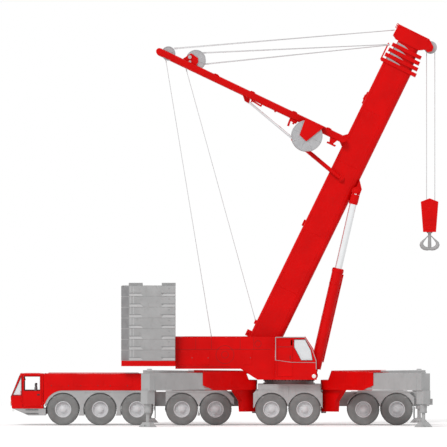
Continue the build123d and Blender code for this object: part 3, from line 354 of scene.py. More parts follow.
def sidePlate(corners, y, thickness, bevel=0.008):
    # plate across the crane, its corners given as x and z
    return plate([(x, y, z) for x, z in corners], thickness, (0, 1, 0), bevel)


def turned(outline, centre, axis, steps=32):
    # solid of revolution: outline is (distance along the axis, radius) in order, closed
    clearPicks()
    axis, centre = Vector(axis).normalized(), Vector(centre)
    side = axis.orthogonal().normalized()
    bpy.ops.mesh.primitive_circle_add(vertices=len(outline), radius=1, fill_type="NOTHING")
    obj = active()
    for vertex, (w, r) in zip(obj.data.vertices, outline):
        vertex.co = centre + axis * w + side * r
    openMesh()
    bpy.ops.mesh.spin(steps=steps, angle=math.tau, center=centre, axis=axis)
    bpy.ops.mesh.select_all(action="SELECT")
    bpy.ops.mesh.remove_doubles(threshold=shaping["merge"])
    bpy.ops.mesh.normals_make_consistent(inside=False)
    closeMesh()
    smooth(shaping["turnedSmooth"])
    return obj


def cap(rim, top, centre, axis, steps=28):
    # closed round cap: the points of its rim from the foot up, then its top
    return turned([(0.0, shaping["pole"]), *rim, (top, shaping["pole"])], centre, axis, steps)


def hoop(low, high, inner, outer, centre, axis, steps=32):
    # square-edged hoop between two places along the axis
    return turned([(low, inner), (low, outer), (high, outer), (high, inner)], centre, axis, steps)


def cushion(low, high):
    # crowned pad that fills the box between two corners, a welt standing along its widest line
    clearPicks()
    low, high = Vector(low), Vector(high)
    size = high - low
    thin = min(range(3), key=lambda n: size[n])
    bpy.ops.mesh.primitive_cube_add(size=1)
    obj = active()
    openMesh()
    bpy.ops.mesh.subdivide(number_cuts=pad["cuts"])
    bpy.ops.mesh.vertices_smooth(factor=pad["rounding"], repeat=pad["rounds"])
    closeMesh()
    reach = max(abs(c) for vertex in obj.data.vertices for c in vertex.co)
    for vertex in obj.data.vertices:
        flat = [c / reach for c in vertex.co]
        edge = max(abs(flat[n]) for n in range(3) if n != thin)
        pull = 1 - pad["hollow"] * (1 - edge) * (abs(flat[thin]) < pad["hollowHalf"])
        pull *= pad["weltOut"] if abs(flat[thin]) < pad["weltHalf"] else 1.0
        for n in range(3):
            spread = flat[n] / 2 if n == thin else flat[n] / 2 * pull
            vertex.co[n] = (low[n] + high[n]) / 2 + max(-0.5, min(0.5, spread)) * size[n]
    obj.data.update()
    smooth(shaping["padSmooth"])
    return obj


def copyOf(obj, place):
    # a copy with its own mesh, moved by a matrix
    twin = obj.copy()
    twin.data = obj.data.copy()
    bpy.context.collection.objects.link(twin)
    twin.data.transform(place)
    if place.determinant() < 0:
        pickParts([twin])
        openMesh()
        bpy.ops.mesh.flip_normals()
        closeMesh()
    return twin


def ringOf(obj, count, centre, axis, start=0.0):
    # copies of the object set evenly round an axis
    copies = [copyOf(obj, turnAbout(centre, axis, start + math.tau * step / count)) for step in range(count)]
    bpy.data.objects.remove(obj)
    return copies


def piece(name, parts, finish, body):
    # joins the parts into one named piece that rides on a body
    obj = joined(parts)
    obj.name = name
    obj.data.name = name
    obj.data.materials.clear()
    obj.data.materials.append(finishes[finish])
    for polygon in obj.data.polygons:
        polygon.material_index = 0
    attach(obj, body)
    return obj


mirrorY = Matrix.Diagonal((1, -1, 1, 1))


def bothSides(parts):
    # the parts with their mirror copies across the crane's middle plane
    return parts + [copyOf(part, mirrorY) for part in parts]


# wheels
tyre = {"radius": 0.746, "halfWidth": 0.2225, "beadRadius": 0.395, "grooveDepth": 0.016, "lugs": 44,
        "lugY": 0.188,
        "lugLean": 0.3}
rim = {"radius": 0.388, "bolts": 20, "boltCircle": 0.245, "boltRadius": 0.017, "hubRadius": 0.15, "caps": 8,
       "capCircle": 0.055}
trackY = 1.2775
axleXs = [-7.5469, -5.8159, -4.0939, -2.0059, -0.4289, 2.1731, 3.7271, 6.4691, 8.0321]
origin, outwards = (0, 0, 0), (0, -1, 0)


def makeTyre():
    # left-hand tyre at the origin, its outer face towards -Y; distances along the axis run outboard
    r, h, bottom = tyre["radius"], tyre["halfWidth"], tyre["radius"] - tyre["grooveDepth"]
    half = [(0.19, 0.35), (0.205, tyre["beadRadius"]), (0.214, 0.45), (h, 0.56), (0.219, 0.63), (0.205, 0.7),
            (0.18, r - 0.016), (0.15, r - 0.003), (0.088, r), (0.084, bottom), (0.064, bottom), (0.06, r),
            (0.014, r), (0.01, bottom)]
    band = [(0.215, 0.47), (0.2195, 0.474), (0.2195, 0.482), (0.215, 0.486)]
    parts = [turned([(-w, z) for w, z in half] + half[::-1], origin, outwards, 72),
             turned(band, origin, outwards, 48)]
    for side in (-1, 1):  # shoulder lugs
        y = side * tyre["lugY"]
        lug = block((-0.02, y - 0.03, r - 0.03), (0.02, y + 0.03, r - 0.002), 0.004,
                    lean=((0, y, r - 0.02), (1, 0, 0), -side * tyre["lugLean"]))
        parts += ringOf(lug, tyre["lugs"], origin, (0, 1, 0))
    return parts


def makeRim():
    # steel disc with its hub, bolts and caps, outer face towards -Y
    r, hub = rim["radius"], rim["hubRadius"]
    face = [(-0.16, 0.33), (-0.19, 0.352), (-0.19, r), (-0.172, r), (-0.16, 0.352), (-0.02, 0.34),
            (0.16, 0.352),
            (0.172, r), (0.196, r), (0.2, r - 0.01), (0.196, 0.352), (0.15, 0.33), (0.06, 0.322),
            (0.04, 0.3), (0.052, 0.205), (0.075, 0.185), (0.08, 0.078), (0.02, 0.078), (0.02, 0.17),
            (-0.02, 0.3), (-0.05, 0.325)]
    nave = [(0.04, 0.078), (0.04, hub), (0.15, hub - 0.006), (0.168, hub - 0.024), (0.172, 0.085),
            (0.19, 0.078),
            (0.194, 0.06), (0.194, 0.001), (0.12, 0.001), (0.12, 0.078)]
    parts = [turned(face, origin, outwards, 48), turned(nave, origin, outwards)]
    for x, y0, y1, radius, bevel, count, start in (
            (rim["boltCircle"], -0.03, -0.082, rim["boltRadius"], 0.003, rim["bolts"], 0.0),
            (rim["capCircle"], -0.165, -0.182, 0.009, 0.002, rim["caps"], 0.2)):
        parts += ringOf(rod((x, y0, 0), (x, y1, 0), radius, 6, bevel), count, origin, (0, 1, 0), start)
    return parts


tyreParts, rimParts = makeTyre(), makeRim()
masters = {"tyre": joined(tyreParts), "rim": joined(rimParts)}
handTurn = Matrix.Rotation(math.pi, 4, "Z")  # the right-hand wheel is the left-hand one turned round
for number, x in enumerate(axleXs, start=1):
    places = {"left": shift(x, -trackY, tyre["radius"]), "right": shift(x, trackY, tyre["radius"]) @ handTurn}
    # the steered wheels one by one, the others in pairs
    if number < 3:
        for side, place in places.items():
            body = f"wheel_{number}_{side}"
            rubber = piece(f"tyre_{number}_{side}", [copyOf(masters["tyre"], place)], "tyreRubber", body)
            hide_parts(f"wheel_{number}_{side}")
            piece(f"rim_{number}_{side}", [copyOf(masters["rim"], place)], "rimSilver", body)
    else:
        body = f"wheels_{number}"
        tyrePair = [copyOf(masters["tyre"], place) for place in places.values()]
        rubber = piece(f"tyres_{number}", tyrePair, "tyreRubber", body)
        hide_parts(f"wheels_axle_{number}")
        rimPair = [copyOf(masters["rim"], place) for place in places.values()]
        piece(f"rims_{number}", rimPair, "rimSilver", body)
for master in masters.values():
    bpy.data.objects.remove(master)
print("wheels made")

# fenders over the wheels
fender = {"archRadius": 0.785, "thickness": 0.026, "outerY": 1.468, "guardRadius": 0.8,
          "guardThickness": 0.012,
          "guardWidth": 0.46, "lipRadius": 0.011, "openEnd": -22.0, "beadLow": 1.312, "beadHigh": 1.332,
          "flapXs": (-3.255, 8.862)}
# first x, last x, wheels, top, corner cut at either end, lowest z at either end
fenderSpans = [
    (-8.38, -3.28, (0, 1, 2), 1.626, 0.0, 0.0, 0.95, 0.62),
    (-2.76, 0.43, (3, 4), 1.626, 0.0, 0.36, 0.62, 0.96),
    (1.33, 4.56, (5, 6), 1.6, 0.1, 0.1, 0.8, 0.8), (5.955, 8.84, (7, 8), 1.6, 0.3, 0.3, 0.96, 0.9)]


def onArch(wheel, radius, degrees):
    angle = math.radians(degrees)
    return axleXs[wheel] + radius * math.cos(angle), tyre["radius"] + radius * math.sin(angle)


def archPoints(wheel, wheels, radius):
    # points of a wheel's arch, stopping where the next wheel's begins
    ends = [180.0, 0.0]
    for side, other in ((0, wheel - 1), (1, wheel + 1)):
        if other in wheels:
            half = abs(axleXs[other] - axleXs[wheel]) / 2
            drop = math.degrees(math.acos(half / radius)) if half < radius else fender["openEnd"]
            ends[side] = drop if side else 180 - drop
    return [onArch(wheel, radius, ends[0] + (ends[1] - ends[0]) * step / 18) for step in range(19)]


def fenderOutline(x0, x1, wheels, top, cut0, cut1, low0, low1):
    first, last = axleXs[wheels[0]] - fender["archRadius"], axleXs[wheels[-1]] + fender["archRadius"]
    points = [(x0, low0)]
    for wheel in wheels:
        points += [(x, z) for x, z in archPoints(wheel, wheels, fender["archRadius"])
                   if not ((x < first + 0.3 and z < low0) or (x > last - 0.3 and z < low1))]
    points += [(x1, low1), (x1, top - cut1), (x1 - cut1, top)] if cut1 else [(x1, low1), (x1, top)]
    points += [(x0 + cut0, top), (x0, top - cut0)] if cut0 else [(x0, top)]
    return points


fenderParts = []
y = -fender["outerY"]
for span in fenderSpans:
    x0, x1, wheels, top, cut0, cut1 = span[:6]
    fenderParts.append(sidePlate(fenderOutline(*span), y, fender["thickness"], 0))
    fenderParts.append(block((x0 + max(cut0, 0.1), y - 0.02, fender["beadLow"]),
                             (x1 - max(cut1, 0.06), y - 0.01, fender["beadHigh"]), 0.003))
    for wheel in wheels:
        lip = archPoints(wheel, (wheel,), fender["archRadius"])[2:-2]
        fenderParts += rodLine([(x, y - 0.012, z) for x, z in lip], fender["lipRadius"], 6)
        if wheel > 1:  # sheet curved over a wheel that doesn't steer
            inner, outer = [[onArch(wheel, fender["guardRadius"] + rise, 165 - step * 150 / 14)
                             for step in range(15)]
                            for rise in (0, fender["guardThickness"])]
            fenderParts.append(sidePlate(inner + outer[::-1], y + 0.24, fender["guardWidth"], 0))
frontArch, frontLine = [archPoints(0, (0,), radius)[1:13] for radius in (0.872, 0.776)]
fenderParts.append(sidePlate(frontArch + frontLine[::-1], -1.44, 0.02, 0))
piece("fenders", bothSides(fenderParts), "carrierGrey", "carrier")
flap = block((-0.01, -1.45, 0.3), (0.01, -1.06, 0.86), 0.004, inset=((-1, 0, 0), 0.03, 0.004))
flaps = [copyOf(flap, shift(x, 0, 0)) for x in fender["flapXs"]]
bpy.data.objects.remove(flap)
piece("mud_flaps", bothSides(flaps), "blackTrim", "carrier")
print("fenders made")

# carrier cab trim
screen = {"low": Vector((-9.994, 0, 1.254)), "high": Vector((-9.541, 0, 2.396)), "sealFrom": 0.085,
          "sealTo": 1.143,
          "halfWidth": 1.35, "wiperYs": (-0.86, 0.1), "wiperLean": 0.62}
screenUp = (screen["high"] - screen["low"]).normalized()
screenOut = Vector((-screenUp.z, 0, screenUp.x))


def onScreen(along, y, out):
    return screen["low"] + screenUp * along + screenOut * out + Vector((0, y, 0))


corners = [(screen[along], side * screen["halfWidth"]) for along, side in (
    ("sealFrom", -1), ("sealFrom", 1), ("sealTo", 1), ("sealTo", -1))]
blackParts = rodLine([onScreen(along, y, 0.004) for along, y in corners], 0.017, ring=True)
for y in screen["wiperYs"]:
    tip = y + screen["wiperLean"]
    blackParts += [rod(onScreen(0.05, y, 0.0), onScreen(0.05, y, 0.03), 0.02, 12, 0.003),
                   rod(onScreen(0.05, y, 0.028), onScreen(0.52, tip, 0.02), 0.008),
                   rod(onScreen(0.22, tip - 0.36, 0.012), onScreen(0.66, tip + 0.2, 0.012), 0.009, 6)]
for row in range(5):  # air slots under the windscreen
    z = 0.885 + row * 0.055
    blackParts.append(block((-10.004, -0.62, z), (-9.99, 0.62, z + 0.028), 0.004))
quarter = [(-9.91, 1.395), (-9.47, 2.33), (-9.47, 2.3), (-9.885, 1.412)]
for side in (-1, 1):  # quarter window's seal, treads under the door, rubbing strip
    y = side * 1.484
    blackParts += [sidePlate(quarter, side * 1.482, 0.006, 0),
                   panel(-9.91, -9.47, y, 0.004, 1.392, 1.414, 0.002),
                   panel(-9.5, -9.478, y, 0.004, 1.392, 2.31, 0.002)]
    blackParts += [block((-9.3, side * 1.445 - 0.05, z), (-8.7, side * 1.445 + 0.02, z + 0.018), 0.004)
                   for z in (0.54, 0.72)]
    blackParts.append(panel(-9.88, -9.868, side * 1.3, 0.1, 0.625, 0.66))
piece("cab_black_trim", blackParts, "blackTrim", "carrier")

redTrim = []
for side in (-1, 1):  # panel seams standing a little proud, grab rails
    y, railY = side * 1.483, side * 1.51
    redTrim += [panel(x - 0.008, x + 0.008, y, 0.003, 0.85, 2.34, 0.002) for x in (-9.452, -8.536)]
    redTrim += [panel(-9.452, -8.536, y, 0.003, 2.337, 2.351, 0.002),
                panel(-9.94, -9.47, y, 0.004, 1.3, 1.316, 0.003)]
    for x in (-9.52, -8.5):
        redTrim += [rod((x, side * 1.478, 1.1), (x, railY, 1.14), 0.009),
                    rod((x, railY, 1.14), (x, railY, 1.58), 0.011, bevel=0.002),
                    rod((x, railY, 1.58), (x, side * 1.478, 1.62), 0.009)]
redTrim += [block((-9.5, -1.3, 2.39), (-8.56, 1.3, 2.406), 0.006, inset=((0, 0, 1), 0.1, 0.01)),
            block((-9.56, -1.38, 2.372), (-9.5, 1.38, 2.412))]
piece("cab_red_trim", redTrim, "craneRed", "carrier")

# lamps: outlines of a head lamp and a fog lamp, places given on the left
lamps = {"head": [(0.0, 0.082), (0.01, 0.09), (0.02, 0.084), (0.028, 0.04)], "headY": 1.18, "headStep": 0.11,
         "fog": [(0, 0.055), (0.012, 0.058), (0.02, 0.03)], "fogY": 1.08, "amberY": 1.405}
lampParts, amberParts = [], []
for side in (-1, 1):
    lampParts += [cap(lamps["head"], 0.03, (-9.982, side * lamps["headY"] + step, 1.045), (-1, 0, 0), 24)
                  for step in (-lamps["headStep"], lamps["headStep"])]
    lampParts.append(cap(lamps["fog"], 0.021, (-9.905, side * lamps["fogY"], 0.7), (-1, 0, 0), 20))
    amberParts.append(panel(-9.998, -9.976, side * lamps["amberY"], 0.035, 0.99, 1.1, 0.008))
piece("head_lamps", lampParts, "lampWhite", "carrier")
piece("amber_lamps", amberParts, "lampAmber", "carrier")
doorTrim = {"seal": 0.016, "x0": -9.364, "x1": -8.634, "z0": 1.629, "z1": 2.27, "handleZ": 1.425}
for name, side in (("left", -1), ("right", 1)):
    y, gripY, z = side * 1.482, side * 1.482 + side * 0.016, doorTrim["handleZ"]
    trim = [panel(-8.76, -8.63, y, 0.004, 1.395, 1.455, 0.003),
            rod((-8.745, gripY, z), (-8.645, gripY, z), 0.01, 10, 0.003)]
    trim += [rod((x, y, z), (x, gripY, z), 0.007) for x in (-8.74, -8.65)]
    seal, x0, x1, z0, z1 = [doorTrim[key] for key in ("seal", "x0", "x1", "z0", "z1")]
    trim += [panel(*xs, y, 0.005, *zs, 0.002) for xs, zs in (
        ((x0 - seal, x1 + seal), (z0 - seal, z0)), ((x0 - seal, x1 + seal), (z1, z1 + seal)),
        ((x0 - seal, x0), (z0, z1)), ((x1, x1 + seal), (z0, z1)))]
    piece(f"door_trim_{name}", trim, "blackTrim", f"carrier_door_{name}")
print("cab trim made")

# carrier cab interior
seat = {"x": -9.044, "ys": (-0.8, 0.8), "floor": 0.846,
        # cushion, back and headrest: first x and last x from the seat's middle, half width,
        # lowest and highest z
        "pads": [(-0.23, 0.23, 0.24, 1.18, 1.302), (0.15, 0.268, 0.23, 1.304, 1.8),
                 (0.165, 0.26, 0.13, 1.815, 1.95)],
        "foot": [(0.0, 0.19), (0.02, 0.19), (0.045, 0.12), (0.15, 0.105), (0.29, 0.125), (0.33, 0.18)]}
seatBase, seatSoft = [], []
x = seat["x"]
for y in seat["ys"]:
    seatSoft += [cushion((x + x0, y - half, z0), (x + x1, y + half, z1))
                 for x0, x1, half, z0, z1 in seat["pads"]]
    seatBase += [panel(x - 0.06, x + 0.2, y + w, 0.016, 1.3, 1.335, 0.01) for w in (-0.242, 0.242)]
    seatBase.append(cap(seat["foot"], 0.334, (x, y, seat["floor"]), (0, 0, 1), 20))
carrierSeats = piece("cab_seat_cushions", seatSoft, "seatCloth", "carrier")
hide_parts("carrier_cab_seats")
dashOutline = [(-9.93, 0.9), (-9.93, 1.23), (-9.82, 1.33), (-9.64, 1.29), (-9.62, 1.22), (-9.76, 1.16),
               (-9.8, 0.9)]
steering = {"centre": Vector((-9.405, -0.8, 1.435)), "axis": (0.74, 0, 0.67),
            "across": Vector((-0.67, 0, 0.74)),
            "ring": [(-0.006, 0.195), (0.0, 0.189), (0.009, 0.19), (0.012, 0.2), (0.006, 0.212),
                     (-0.003, 0.211)]}
hub = steering["centre"]
dash = [sidePlate(dashOutline, 0, 2.72, 0.012),
        block((-9.7, -0.48, 1.28), (-9.62, -0.05, 1.37), 0.012, inset=((1, 0, 0), 0.02, -0.008)),
        block((-9.2, -0.34, 0.85), (-8.76, 0.34, 1.12), 0.02, inset=((0, 0, 1), 0.05, -0.02)),
        rod((-9.64, -0.8, 1.22), (-9.42, -0.8, 1.42), 0.026, 12, 0.004),
        turned(steering["ring"], hub, steering["axis"])]
for turn in range(3):
    angle = math.radians(90 + 120 * turn)
    spoke = Vector((0, 1, 0)) * math.cos(angle) + steering["across"] * math.sin(angle)
    dash.append(rod(hub + spoke * 0.02, hub + spoke * 0.196, 0.011))
dash += [panel(-9.775, -9.745, y, 0.022, 0.9, 1.01, 0.006) for y in (-0.86, -0.8, -0.7)]  # pedals
piece("cab_interior", seatBase + dash, "cabLining", "carrier")
print("cab interior made")

# carrier body: engine panels, roof louvres, rails
bodySizes = {"panelXs": ((-8.35, -7.05), (-6.97, -5.67), (-5.59, -4.29)),
             "hatchXs": ((-8.3, -6.9), (-4.85, -3.95)),
        "postXs": (-8.25, -7.2, -6.15, -5.1, -4.05), "louvres": 9, "louvreX": -5.95, "louvreStep": 0.12,
        "louvreLean": -0.2, "railZ": 2.425}
bodyRed, bodyDark = [], []
for side in (-1, 1):
    for x0, x1 in bodySizes["panelXs"]:
        bodyRed.append(panel(x0, x1, side * 1.5, 0.006, 1.8, 2.33, inset=((0, side, 0), 0.03, 0.003)))
        bodyDark += [rod((x, side * 1.5, 1.85), (x, side * 1.514, 1.85), 0.02, 12, 0.003)
                     for x in (x0 + 0.25, x1 - 0.25)]
for row in range(bodySizes["louvres"]):
    x = bodySizes["louvreX"] + row * bodySizes["louvreStep"]
    bodyDark.append(block((x, -0.9, 2.392), (x + 0.045, 0.9, 2.404), 0.004,
                          lean=((x, 0, 2.4), (0, 1, 0), bodySizes["louvreLean"])))
bodyRed += [block((x0, -1.2, 2.39), (x1, 1.2, 2.404), 0.005, inset=((0, 0, 1), 0.05, 0.004))
            for x0, x1 in bodySizes["hatchXs"]]
for y in (-1.25, 1.25):
    posts, z = bodySizes["postXs"], bodySizes["railZ"]
    bodyRed.append(rod((posts[0], y, z), (posts[-1], y, z), 0.01))
    bodyRed += [rod((x, y, 2.392), (x, y, z), 0.01) for x in posts]
piece("body_panels", bodyRed, "craneRed", "carrier")
piece("body_fittings", bodyDark, "blackTrim", "carrier")
print("carrier body made")

# counterweight: slab faces, lifting pockets, straps, and painted shade on the cut corners and along the
# pockets' tops
slab = {"count": 7, "bottom": 3.019, "step": 0.499, "gap": 0.014, "rearX": -4.824, "frontX": -2.312,
        "innerY": -0.706,
        "outerY": 2.15, "cut": 0.34, "strapXs": (-4.4, -4.25), "strapTop": 6.49, "lip": 0.125}
cutX, cutY = slab["rearX"] + slab["cut"], slab["outerY"] - slab["cut"]
outerY, rearX = slab["outerY"], slab["rearX"]
faceParts, pocketParts, shadeAndStudParts = [], [], []
for number in range(slab["count"]):
    z0 = slab["bottom"] + number * slab["step"] + slab["gap"]
    z1 = z0 + slab["step"] - 2 * slab["gap"]
    faceParts += [block((cutX + 0.01, -outerY - 0.008, z0),
                        (slab["frontX"] - 0.006, -outerY + 0.004, z1), 0.006),
                  block((rearX - 0.008, -cutY + 0.01, z0), (rearX + 0.004, slab["innerY"], z1), 0.006)]
    # the cut rear corner's face in a darker grey: painted shade of the angled face
    shadeAndStudParts.append(plate([(cutX + 0.01, -outerY - 0.006, z0), (cutX + 0.01, -outerY - 0.006, z1),
                            (rearX - 0.006, -cutY + 0.01, z1), (rearX - 0.006, -cutY + 0.01, z0)],
                           0.012, (1, 1, 0), 0.003))
    # handles: a sloping-ended lip over a light pocket at both ends of a slab; the lip's dark grey is painted
    # shadow along the pocket's top edge
    # xs of the pocket's foot and of its top
    low, high = z0 + 0.004, z0 + 0.004 + slab["lip"]
    for foot, top in (((-4.45, -3.8), (-4.45, -3.92)), ((-2.96, -2.318), (-2.85, -2.318))):
        outline = [(foot[0], low), (foot[1], low), (top[1], high), (top[0], high)]
        pocketParts.append(sidePlate(outline, -outerY - 0.014, 0.014, 0.003))
        shadeAndStudParts.append(block((min(foot[0], top[0]), -outerY - 0.03, low + 0.123),
                               (top[1], -outerY - 0.006, low + 0.149), 0.004))
    shadeAndStudParts.append(rod((-2.6, -outerY - 0.02, z1 - 0.1),
                         (-2.6, -outerY + 0.01, z1 - 0.1), 0.022, 12, 0.004))
for x in slab["strapXs"]:  # clamping straps that run up the stack
    pocketParts.append(block((x - 0.014, -outerY - 0.013, slab["bottom"] + 0.02),
                             (x + 0.014, -outerY - 0.006, slab["strapTop"]), 0.003))
pocketParts.append(block((-4.78, -1.95, 6.511), (-4.56, -0.9, 6.52), 0.004))
piece("slab_faces", bothSides(faceParts), "slabGrey", "superstructure")
piece("slab_pockets", bothSides(pocketParts), "pocketGrey", "superstructure")
# the darker grey pieces: painted shade on the cut corners and along the pockets' top edges, and the studs
piece("slab_painted_shade_and_studs", bothSides(shadeAndStudParts), "paintedShadeAndStudGrey", "superstructure")
print("counterweight made")

# superstructure: seams, lockers, louvres
house = {"outerY": 1.502, "rearX": -2.29, "seamXs": (-1.35, -0.62, 0.72, 1.35),
         "rings": ((0.01, 3.3, 0.42), (0.01, 3.3, 0.16), (1.55, 3.8, 0.15)),  # x, z, radius
         "lockers": ((-2.2, -1.45), (-1.25, -0.7), (0.85, 1.28)), "louvres": 7, "louvreZ": 2.95,
         "louvreStep": 0.13,
         "louvreLean": 0.18}
seams, redBits, steelBits = [], [], []
for side in (-1, 1):
    y, front = side * house["outerY"], 2.15 if side < 0 else 4.1
    seams += [panel(house["rearX"], front, y, 0.004, 3.54, 3.552, 0.002),
              panel(house["rearX"], 0.3, y, 0.004, 2.74, 2.75, 0.002)]
    seams += [panel(x - 0.005, x + 0.005, y, 0.004, 3.552, 4.118, 0.002) for x in house["seamXs"]]
    seams += [hoop(-0.004, 0.006, r - 0.006, r + 0.006, (x, y, z), (0, 1, 0), 40)
              for x, z, r in house["rings"]]
    for x0, x1 in house["lockers"]:  # doors with hinges and catches
        redBits.append(panel(x0, x1, y, 0.007, 2.82, 3.48, inset=((0, side, 0), 0.03, 0.004)))
        redBits += [panel(x0 + 0.06 + step, x0 + 0.14 + step, y, 0.014, 3.44, 3.49)
                    for step in (0, x1 - x0 - 0.2)]
        steelBits.append(rod((x1 - 0.08, y, 3.15), (x1 - 0.08, y + side * 0.018, 3.15), 0.02, 12, 0.004))
for step in range(house["louvres"]):  # air louvres of the power pack
    z = house["louvreZ"] + step * house["louvreStep"]
    steelBits.append(block((-2.312, -0.62, z), (-2.296, 0.62, z + 0.06), 0.004,
                           lean=((-2.3, 0, z), (0, 1, 0), house["louvreLean"])))
piece("superstructure_seams", seams, "seamLine", "superstructure")
piece("superstructure_red_fittings", redBits, "craneRed", "superstructure")
piece("superstructure_steel_fittings", steelBits, "darkSteel", "superstructure")
print("superstructure made")

# operator's cab
cab = {"outerY": -2.055, "seatX": 2.9, "seatY": -1.61, "floor": 2.236, "lampYs": (-1.9, -1.62, -1.34),
       "armrest": 0.3, "pedalYs": (-1.75, -1.47),
       "frame": [(2.372, 3.05), (2.372, 4.112), (3.725, 4.112), (4.06, 3.59), (4.262, 3.005), (4.262, 2.62)],
       "lower": [(2.372, 3.05), (3.1, 2.95), (4.262, 2.93)],
       "gasket": [(3.231, 3.664), (3.563, 3.042), (4.096, 3.042), (4.016, 3.5), (3.751, 4.01), (3.231, 4.01)]}
opY, opFrameY = cab["outerY"], cab["outerY"] - 0.01
cabParts = rodLine([(x, opFrameY, z) for x, z in cab["frame"]], 0.017, 10)
elbow = [(-0.017, 0.001), (-0.012, 0.013), (0.0, 0.017), (0.012, 0.013), (0.017, 0.001)]
cabParts += [turned(elbow, (x, opFrameY, z), (0, 1, 0), 12) for x, z in cab["frame"][1:-1]]
cabParts += rodLine([(x, opFrameY, z) for x, z in cab["lower"]], 0.01)
piece("operator_cab_frame", cabParts, "carrierGrey", "superstructure")
cabDark = rodLine([(x, opY - 0.002, z) for x, z in cab["gasket"]], 0.01, 6, ring=True)
cabDark += [rod((4.285, -1.62, 2.45), (4.285, -1.62, 2.52), 0.016, 10, 0.003),  # wiper
            rod((4.287, -1.62, 2.5), (4.24, -1.4, 3.1), 0.008),
            rod((4.262, -1.52, 2.86), (4.225, -1.36, 3.22), 0.009, 6)]
piece("operator_cab_seals", cabDark, "blackTrim", "superstructure")
cabWhite = [cap([(0.0, 0.092), (0.01, 0.096), (0.018, 0.08)], 0.024, (4.16, opY, 2.3), (0, -1, 0))]
cabWhite += [cap([(0.0, 0.05), (0.03, 0.058), (0.042, 0.05)], 0.045, (3.73, y, 4.12), (1, 0, 0), 20)
             for y in cab["lampYs"]]  # work lamps on the roof's edge
piece("operator_cab_lamps", cabWhite, "lampWhite", "superstructure")
handle = [rod((3.05, opY - 0.018, 3.06), (3.05, opY - 0.018, 3.26), 0.011, 10, 0.003)]
handle += [rod((3.05, opY, z), (3.05, opY - 0.018, z), 0.008) for z in (3.08, 3.24)]
handle.append(block((2.47, opY - 0.008, 3.66), (3.15, opY + 0.002, 3.674), 0.003))
piece("operator_door_trim", handle, "blackTrim", "operator_door")
softParts = [cushion((x0, cab["seatY"] - half, z0), (x1, cab["seatY"] + half, z1))
             for x0, x1, half, z0, z1 in (
    (2.676, 3.176, 0.25, 2.7, 2.822), (2.676, 2.796, 0.23, 2.824, 3.36), (2.69, 2.79, 0.13, 3.38, 3.56))]
operatorCushions = piece("operator_cushions", softParts, "seatCloth", "superstructure")
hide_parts("operator_seat")
inside = [cap([(0.0, 0.2), (0.02, 0.2), (0.05, 0.13), (0.3, 0.1), (0.44, 0.14), (0.46, 0.19)], 0.465,
              (cab["seatX"], cab["seatY"], cab["floor"]), (0, 0, 1), 20)]
for side in (-1, 1):  # armrests with joysticks
    y = cab["seatY"] + side * cab["armrest"]
    inside += [panel(2.74, 3.24, y, 0.045, 2.98, 3.04, 0.014),
               rod((3.18, y, 3.04), (3.18, y, 3.14), 0.012, 10),
               cap([(0, 0.02), (0.03, 0.026), (0.07, 0.022)], 0.08, (3.18, y, 3.13), (0, 0, 1), 14)]
inside += [block((3.8, -1.78, 2.85), (3.86, -1.44, 3.12), 0.012, inset=((-1, 0, 0), 0.02, -0.006)),
           rod((3.86, cab["seatY"], cab["floor"]), (3.84, cab["seatY"], 2.88), 0.025, 10)]
inside += [panel(3.78, 3.92, y, 0.06, 2.3, 2.33, 0.006) for y in cab["pedalYs"]]
piece("operator_cab_interior", inside, "cabLining", "superstructure")
print("operator's cab made")

# boom: welds, bumpers, pins, wear wedges and bolts at the collars
# places are (along the boom, towards its upper side)
boomSizes = {"halfHeight": 0.716, "halfWidth": 0.6, "step": 0.048, "collarEnd": 14.93, "pitch": 0.28,
             "weldVs": (0.6, -0.44), "strapUs": (3.2, 6.1, 9.7, 12.4), "bolts": 7, "mastPin": (8.965, 0.088)}
pinRims = {"mast": ([(0.0, 0.155), (0.02, 0.16), (0.03, 0.14)], 0.034),
           "foot": ([(0.0, 0.18), (0.02, 0.185), (0.03, 0.16)], 0.034)}
# bars square to the boom: first and last place along it, lowest and highest above its middle, ys and bevel
bumpers = [(12.57, 13.18, 0.712, 0.775, -0.16, 0.16, 0.02), (12.76, 13.02, 0.712, 0.815, -0.12, 0.12, 0.02),
           (6.2, 6.52, 0.712, 0.8, -0.2, 0.2, 0.02), (0.44, 0.74, 0.712, 0.93, -0.48, -0.4, 0.01),
           (0.44, 0.74, 0.712, 0.93, 0.4, 0.48, 0.01)]
headSizes = {"plateY": 0.468, "pins": ((16.58, 0.735, 0.062), (16.55, -0.7, 0.062), (16.33, -0.986, 0.12)),
             "outline": [(16.02, 0.6), (16.12, 0.76), (16.58, 0.76), (16.58, -0.66), (16.36, -0.98),
                         (16.1, -0.78)],
             "rollerUs": (16.62, 16.5)}


def boomBar(u0, u1, v0, v1, y0, y1, bevel=0.006):
    return plate([boomSpot(u, v, (y0 + y1) / 2) for u, v in ((u0, v0), (u1, v0), (u1, v1), (u0, v1))],
                 abs(y1 - y0), (0, 1, 0), bevel)


def boltRow(u, v0, step, y, length, radius, side):
    # a row of bolt heads across the boom's side
    heads = []
    for number in range(boomSizes["bolts"]):
        spot = boomSpot(u, v0 + number * step, side * y)
        heads.append(rod(spot, spot + Vector((0, side * length, 0)), radius, 6, 0.004))
    return heads


